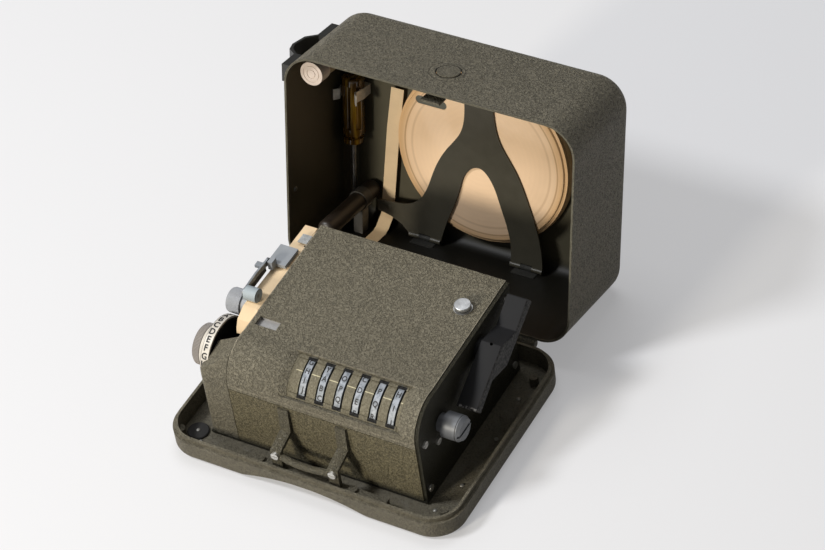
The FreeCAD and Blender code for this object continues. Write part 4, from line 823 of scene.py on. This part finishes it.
def ribs_round(centre, radius, count, x0, x1, width):
    """Round ribs that lie along X on a knob."""
    tree = Repeats("ribs round a knob")
    number = tree.input("Count", "Int", count)
    reach = tree.input("Radius", "Float", radius)
    length = tree.input("Length", "Float", x1 - x0)
    half = tree.input("Rib radius", "Float", width / 2)
    spot = tree.input("Centre", "Vector", ((x0 + x1) / 2, centre.y, centre.z))
    ring = tree.node("GeometryNodeMeshCircle", {"Vertices": number, "Radius": reach})
    ring = tree.node("GeometryNodeTransform", {"Geometry": ring, "Rotation": (0, math.pi / 2, 0)})
    rib = tree.node("GeometryNodeMeshCylinder", {"Vertices": 6, "Radius": half, "Depth": length})
    rib = tree.node("GeometryNodeTransform", {"Geometry": rib, "Rotation": (0, math.pi / 2, 0)})
    ribs = tree.node("GeometryNodeInstanceOnPoints", {"Points": ring, "Instance": rib})
    moved = tree.node("GeometryNodeTransform", {"Geometry": ribs, "Translation": spot})
    return tree.mesh(moved)


def domes_at(points, radius, height, direction):
    """Rivet heads on points; direction is their outward normal."""
    base = bpy.data.meshes.new("points")
    base.from_pydata([tuple(p) for p in points], [], [])
    tree = Repeats("rivet heads")
    reach = tree.input("Radius", "Float", radius)
    squash = tree.input("Flatness", "Float", height / radius)
    turn = tree.input("Turn", "Rotation", Vector(direction).to_track_quat("Z", "Y").to_euler())
    head = tree.node("GeometryNodeMeshUVSphere", {"Segments": 16, "Rings": 8, "Radius": reach})
    scale = tree.node("ShaderNodeCombineXYZ", {0: 1.0, 1: 1.0, 2: squash})
    head = tree.node("GeometryNodeTransform", {"Geometry": head, "Scale": scale})
    heads = tree.node("GeometryNodeInstanceOnPoints",
                      {"Points": tree.source.outputs[0], "Instance": head, "Rotation": turn})
    return tree.mesh(heads, base)


def settings():
    scene = bpy.context.scene
    return scene.cipher_paints, scene.cipher_sizes


# ---- pieces
class CIPHER_OT_case(Operator):
    """Paints the tray and the lid, and adds their studs"""
    bl_idname = "cipher.case"
    bl_label = "Case"

    def execute(self, context):
        paints, sizes = settings()
        dress("lid_shell", lid_paint(paints, sizes))
        dress("base_tray", tray_paint(paints, sizes))
        case = body_paint("case paint", tuple(paints.case), sizes.grain)
        dress("lock_button base_hinge_leaves lid_hinge_leaves", case)
        dress("strap_loop", moulding("black enamel", (0.018, 0.018, 0.017), 0.30))
        dress("can_pad", moulding("dark rubber", (0.022, 0.021, 0.020), 0.75))
        floor_z = 2.05
        spots = [Vector((x, y, floor_z)) * MM
                 for x, y in ((78, -30), (79.5, 8), (73, -52), (-75, -58.5), (77, 40))]
        pad = centre_of("can_pad")
        spots.append(Vector((pad.x, pad.y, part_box("can_pad")[1].z)))
        studs = domes_at(spots, 1.3 * MM, 0.7 * MM, (0, 0, 1))
        new_piece("tray_studs", studs, steel("stud metal", (0.46, 0.45, 0.42), 0.4), "base")
        wall_x, rivet_y, rivet_z = -91.25, 22.7, 20.5
        spot = OPEN_LID @ (Vector((wall_x, rivet_y, rivet_z)) * MM)
        rivet = domes_at([spot], 1.7 * MM, 0.8 * MM, (1, 0, 0))
        rivet_metal = steel("rivet metal", (0.16, 0.17, 0.17), 0.35)
        new_piece("lid_wall_rivet", rivet, rivet_metal, "lid")
        return {"FINISHED"}


class CIPHER_OT_body(Operator):
    """Paints the machine's housing, plates and keeper"""
    bl_idname = "cipher.body"
    bl_label = "Machine body"

    def execute(self, context):
        paints, sizes = settings()
        dress("top_cover", cover_paint(paints, sizes))
        body = body_paint("body paint", tuple(paints.body), sizes.grain)
        dress("left_shoulder", body)
        # Painted shade and a painted yellow reflection: the front plate gets a darker, yellower copy of the
        # body paint.
        dress("lower_front", body_paint("front plate painted shade", tuple(paints.front), sizes.grain, depth=1.1))
        dress("keeper", body_paint("keeper paint", (0.092, 0.083, 0.058), sizes.grain * 0.8, rough=0.46),
              0.25 * MM)
        # Near-black plate paint: partly painted shade of the machine's right side, which faces away from the
        # lamps.
        dress("chassis right_side_plate left_side_plate",
              body_paint("plate paint", (0.030, 0.028, 0.018), sizes.grain * 0.6, rough=0.55))
        dress("bearing_plates cover_hinge_pin", steel("plate steel", (0.30, 0.30, 0.29)))
        ends = slot_end_strips()
        # The strips' paint carries the painted shade at the slot ends.
        new_piece("recess_slot_ends", ends, cover_paint(paints, sizes, "slot end paint with painted shade", True), "cover")
        dress("machine_screws", steel("bright steel", (0.66, 0.65, 0.62), 0.26, dirt=0.25))
        return {"FINISHED"}


class CIPHER_OT_key_wheels(Operator):
    """Finishes the six key wheels and letters their rims"""
    bl_idname = "cipher.key_wheels"
    bl_label = "Key wheels"

    def execute(self, context):
        paints, sizes = settings()
        metal = rim_metal()
        ink = moulding("letter filling", tuple(paints.letter), 0.55)
        for i, (count, turn) in enumerate(zip(WHEEL_LETTERS, WHEEL_TURNS), 1):
            node = "key_wheel_%d" % i
            dress(node, metal)
            centre = centre_of(node)
            mesh = wheel_lettering("wheel_letters_%d" % i, ALPHABET[:count], centre, WHEEL_RADIUS, centre.x,
                                   sizes.wheel_letter, 0.92, turn)
            new_piece("wheel_letters_%d" % i, mesh, ink, "wheel_%d" % i)
        return {"FINISHED"}


class CIPHER_OT_drive(Operator):
    """Finishes the drum, its drive, the handle and the reset knob"""
    bl_idname = "cipher.drive"
    bl_label = "Drum and drive"

    def execute(self, context):
        dress("drum_cage", steel("drum metal", (0.44, 0.45, 0.44), 0.4, (1.0, 4.0, 4.0)))
        dress("slide_bars wheel_shaft drive_shaft", steel("bar steel", (0.50, 0.50, 0.49), 0.3))
        dress("drum_gear", steel("gear brass", (0.60, 0.42, 0.16), 0.32, (1.0, 3.0, 3.0)))
        dress("drive_handle", moulding("black moulding", (0.013, 0.013, 0.014), 0.5, handle_wear, scuffs=0.05,
                                       gloss=0.15), sharp=40)
        _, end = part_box("reset_knob")
        dress("reset_knob", knob_metal("reset knob metal", (0.15, 0.158, 0.172), end.x - 2.7 * MM, 0.22 * MM))
        return {"FINISHED"}


class CIPHER_OT_indicator(Operator):
    """Finishes the indicating disc and its knob, with letters and ribs"""
    bl_idname = "cipher.indicator"
    bl_label = "Indicator"

    def execute(self, context):
        paints, sizes = settings()
        dress("indicating_disc", disc_enamel())
        knob = moulding("beige moulding", (0.27, 0.243, 0.22), 0.5)
        # The knob under its ribs is a darker copy of the ribs' moulding: painted shade between the ribs.
        dress("indicator_knob", moulding("beige moulding with painted shade between ribs", (0.16, 0.144, 0.13), 0.55))
        dress("type_wheel", steel("type metal", (0.30, 0.30, 0.29)))
        disc = centre_of("indicating_disc")
        _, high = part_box("indicating_disc")
        ink = moulding("disc letter filling", tuple(paints.letter), 0.55)
        rim_x = high.x - 2.6 * MM
        mesh = wheel_lettering("disc_letters", ALPHABET, disc, DISC_RADIUS, rim_x, sizes.disc_letter, 0.95,
                               math.radians(64))
        new_piece("disc_letters", mesh, ink, "indicator")
        low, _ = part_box("indicator_knob")
        knob_radius, rib_width = 12.0 * MM, 0.46 * MM
        ribs = ribs_round(disc, knob_radius, sizes.knob_ribs, low.x + 1.0 * MM, low.x + 4.8 * MM, rib_width)
        new_piece("indicator_knob_ribs", ribs, knob, "indicator")
        return {"FINISHED"}


class CIPHER_OT_printer(Operator):
    """Finishes the feed, the pressure arm, the guide block and the paper tape"""
    bl_idname = "cipher.printer"
    bl_label = "Printer"

    def execute(self, context):
        paints, sizes = settings()
        grey = moulding("grey moulding", (0.28, 0.29, 0.31), 0.45, metal=0.1)
        dress("feed_roller pressure_roller", moulding("blue grey rubber", (0.33, 0.38, 0.41), 0.5))
        dress("feed_knob", grey)
        dress("tape_guide", moulding("blue grey enamel", (0.29, 0.31, 0.335), 0.42, metal=0.15))
        dress("inlet_clip", steel("clip steel", (0.58, 0.59, 0.58), 0.24))
        tape = paper(paints)
        dress("paper_tape", tape)
        new_piece("tape_margin", tape_margin(), tape, "base")
        arm = steel("arm steel", (0.30, 0.32, 0.34), 0.4)
        dress("pressure_arm", arm)
        # The arm web's black is painted shade.
        new_piece("pressure_arm_web", arm_web(), moulding("arm web painted shade", (0.018, 0.018, 0.018), 0.45), "arm")
        feed = centre_of("feed_knob")
        low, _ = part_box("feed_knob")
        knob_radius, rib_width = 7.2 * MM, 0.48 * MM
        ribs = ribs_round(feed, knob_radius, sizes.feed_ribs, low.x + 1.4 * MM, low.x + 8.8 * MM, rib_width)
        new_piece("feed_knob_ribs", ribs, grey, "feed")
        return {"FINISHED"}


class CIPHER_OT_counter(Operator):
    """Finishes the letter counter and the push button"""
    bl_idname = "cipher.counter"
    bl_label = "Counter and button"

    def execute(self, context):
        paints, _ = settings()
        ivory = moulding("counter enamel", (0.56, 0.56, 0.54), 0.45)
        ink = moulding("figure filling", tuple(paints.letter), 0.55)
        figure_height = 2.2 * MM
        for body, turn in (("units", 0.1), ("tens", 0.7), ("hundreds", 1.3)):
            node = "counter_" + body
            dress(node, ivory)
            centre = centre_of(node)
            mesh = wheel_lettering(node + "_figures", "0123456789", centre, COUNTER_RADIUS, centre.x,
                                   figure_height, 0.9, math.pi / 2 + turn)
            new_piece(node + "_figures", mesh, ink, body)
        dress("counter_yoke", steel("yoke steel", (0.36, 0.36, 0.35)))
        dress("counter_window", window_glass())
        dress("button_collar", steel("collar steel", (0.50, 0.50, 0.49)))
        dress("push_button", steel("button steel", (0.52, 0.53, 0.54), 0.34, (1.0, 1.0, 1.0), dirt=0.25))
        return {"FINISHED"}


class CIPHER_OT_reel(Operator):
    """Finishes the tape reel, its bracket and the loose tape in the lid"""
    bl_idname = "cipher.reel"
    bl_label = "Tape reel"

    def execute(self, context):
        paints, _ = settings()
        dress("reel_front_dish reel_back_dish", lacquer(paints))
        # The grey sheet in the finger slot is painted shade.
        slot_shade = moulding("slot shade", (0.105, 0.108, 0.088), 0.5)
        new_piece("finger_slot_shade_sheet", finger_slot_shade_sheet(), slot_shade, "reel")
        dress("tape_roll", paper(paints, "wound tape", centre_of("tape_roll")))
        # The loose tape is the paper made 3 % lighter: painted light.
        dress("lid_tape", paper(paints, "loose tape", shade=1.03))
        dress("reel_spindle bracket_hinges", steel("dark steel", (0.030, 0.029, 0.025), 0.62, metal=0.15))
        dress("reel_bracket", moulding("bracket enamel", (0.048, 0.043, 0.029), 0.36))
        return {"FINISHED"}


class CIPHER_OT_tools(Operator):
    """Finishes the ink can, the screwdriver, the oil tube and their clips"""
    bl_idname = "cipher.tools"
    bl_label = "Tools in the lid"

    def execute(self, context):
        dress("can_cap", moulding("cap enamel", (0.56, 0.47, 0.405), 0.42))
        dress("ink_can", steel("can metal", (0.20, 0.19, 0.16), 0.4))
        dress("screwdriver_grip", amber_plastic())
        dress("screwdriver_blade", steel("blade steel", (0.52, 0.51, 0.49), 0.26))
        dress("oil_tube", moulding("brown black moulding", (0.026, 0.019, 0.014), 0.34))
        dress("lid_clips", clip_steel())
        return {"FINISHED"}


class CIPHER_OT_stage(Operator):
    """Sets up the pale floor, the soft lights and the camera"""
    bl_idname = "cipher.stage"
    bl_label = "Stage"

    def execute(self, context):
        self.floor()
        self.lights(context)
        self.camera(context)
        return {"FINISHED"}

    def floor(self):
        """Pale table top that keeps the object's shadow."""
        mesh = bpy.data.meshes.new("floor")
        reach = 6.0
        mesh.from_pydata([(-reach, -reach, 0), (reach, -reach, 0), (reach, reach, 0), (-reach, reach, 0)], [],
                         [(0, 1, 2, 3)])
        finish = Finish("pale table")
        cloud = finish.noise(0.4, 2.0)
        finish.done(Base_Color=finish.shade((0.88, 0.88, 0.895), 0.99 + cloud * 0.02), Roughness=0.55)
        mesh.materials.append(finish.paled((0.70, 0.70, 0.715), 0.42, (0.43, 0.42, 0.40)))
        placed("floor", mesh)

    def lights(self, context):
        """Three soft lamps and a dim even room."""
        target = Vector((0, 0.05, 0.06))
        cool, warm = (0.97, 0.98, 1.0), (1.0, 0.93, 0.80)
        for name, place, size, power, colour in (("window light", (-1.1, -0.75, 1.7), 0.42, 28.0, cool),
                                                 ("top light", (-0.4, 0.8, 1.9), 1.3, 12.5, cool),
                                                 ("low front light", (-0.6, -1.75, 0.78), 0.34, 28.0, warm)):
            lamp = bpy.data.lights.new(name, "AREA")
            lamp.color = colour
            lamp.shape, lamp.size, lamp.energy = "DISK", size, power
            obj = placed(name, lamp)
            obj.location = place
            obj.rotation_euler = (target - obj.location).to_track_quat("-Z", "Y").to_euler()
        world = bpy.data.worlds.new("soft room")
        context.scene.world = world
        world.use_nodes = True
        background = world.node_tree.nodes["Background"]
        background.inputs["Color"].default_value = (1.0, 0.98, 0.94, 1.0)
        background.inputs["Strength"].default_value = 0.17
        context.scene.view_settings.view_transform = "Standard"

    def camera(self, context):
        """Camera from the right, above the front corner."""
        azimuth, elevation, roll = math.radians(34.93), math.radians(43.92), math.radians(-8.99)
        focal_pixels, frame_pixels = 3114.43, 825
        distance, aim = 1840.5 * MM, Vector((-28.39, 106.9, 0)) * MM
        back = Vector((math.sin(azimuth) * math.cos(elevation), -math.cos(azimuth) * math.cos(elevation),
                       math.sin(elevation)))
        level = Vector((math.cos(azimuth), math.sin(azimuth), 0))
        upward = back.cross(level)
        right = level * math.cos(roll) + upward * math.sin(roll)
        up = upward * math.cos(roll) - level * math.sin(roll)
        data = bpy.data.cameras.new("camera")
        data.sensor_width = 36.0
        data.lens = data.sensor_width * focal_pixels / frame_pixels
        data.clip_start, data.clip_end = 0.05, 50.0
        camera = placed("camera", data)
        turn = Matrix((right, up, back)).transposed().to_4x4()
        camera.matrix_world = Matrix.Translation(aim + back * distance) @ turn
        context.scene.camera = camera


class CIPHER_PT_sidebar(Panel):
    """Lists the machine's pieces and settings"""
    bl_idname = "CIPHER_PT_sidebar"
    bl_label = "Cipher machine"
    bl_space_type = "VIEW_3D"
    bl_region_type = "UI"
    bl_category = "Cipher machine"

    def draw(self, context):
        for settings_group in (context.scene.cipher_paints, context.scene.cipher_sizes):
            for key in settings_group.__annotations__:
                self.layout.prop(settings_group, key)
        for operator in OPERATORS:
            self.layout.operator(operator.bl_idname)


OPERATORS = (CIPHER_OT_case, CIPHER_OT_body, CIPHER_OT_key_wheels, CIPHER_OT_drive, CIPHER_OT_indicator,
             CIPHER_OT_printer, CIPHER_OT_counter, CIPHER_OT_reel, CIPHER_OT_tools, CIPHER_OT_stage)
CLASSES = (CipherPaints, CipherSizes, *OPERATORS, CIPHER_PT_sidebar)


def register():
    for made in CLASSES:
        bpy.utils.register_class(made)
    bpy.types.Scene.cipher_paints = PointerProperty(type=CipherPaints)
    bpy.types.Scene.cipher_sizes = PointerProperty(type=CipherSizes)


def unregister():
    del bpy.types.Scene.cipher_sizes
    del bpy.types.Scene.cipher_paints
    for made in reversed(CLASSES):
        bpy.utils.unregister_class(made)


def main():
    register()
    for operator in OPERATORS:
        group, _, name = operator.bl_idname.partition(".")
        getattr(getattr(bpy.ops, group), name)()


if __name__ == "__main__":
    main()
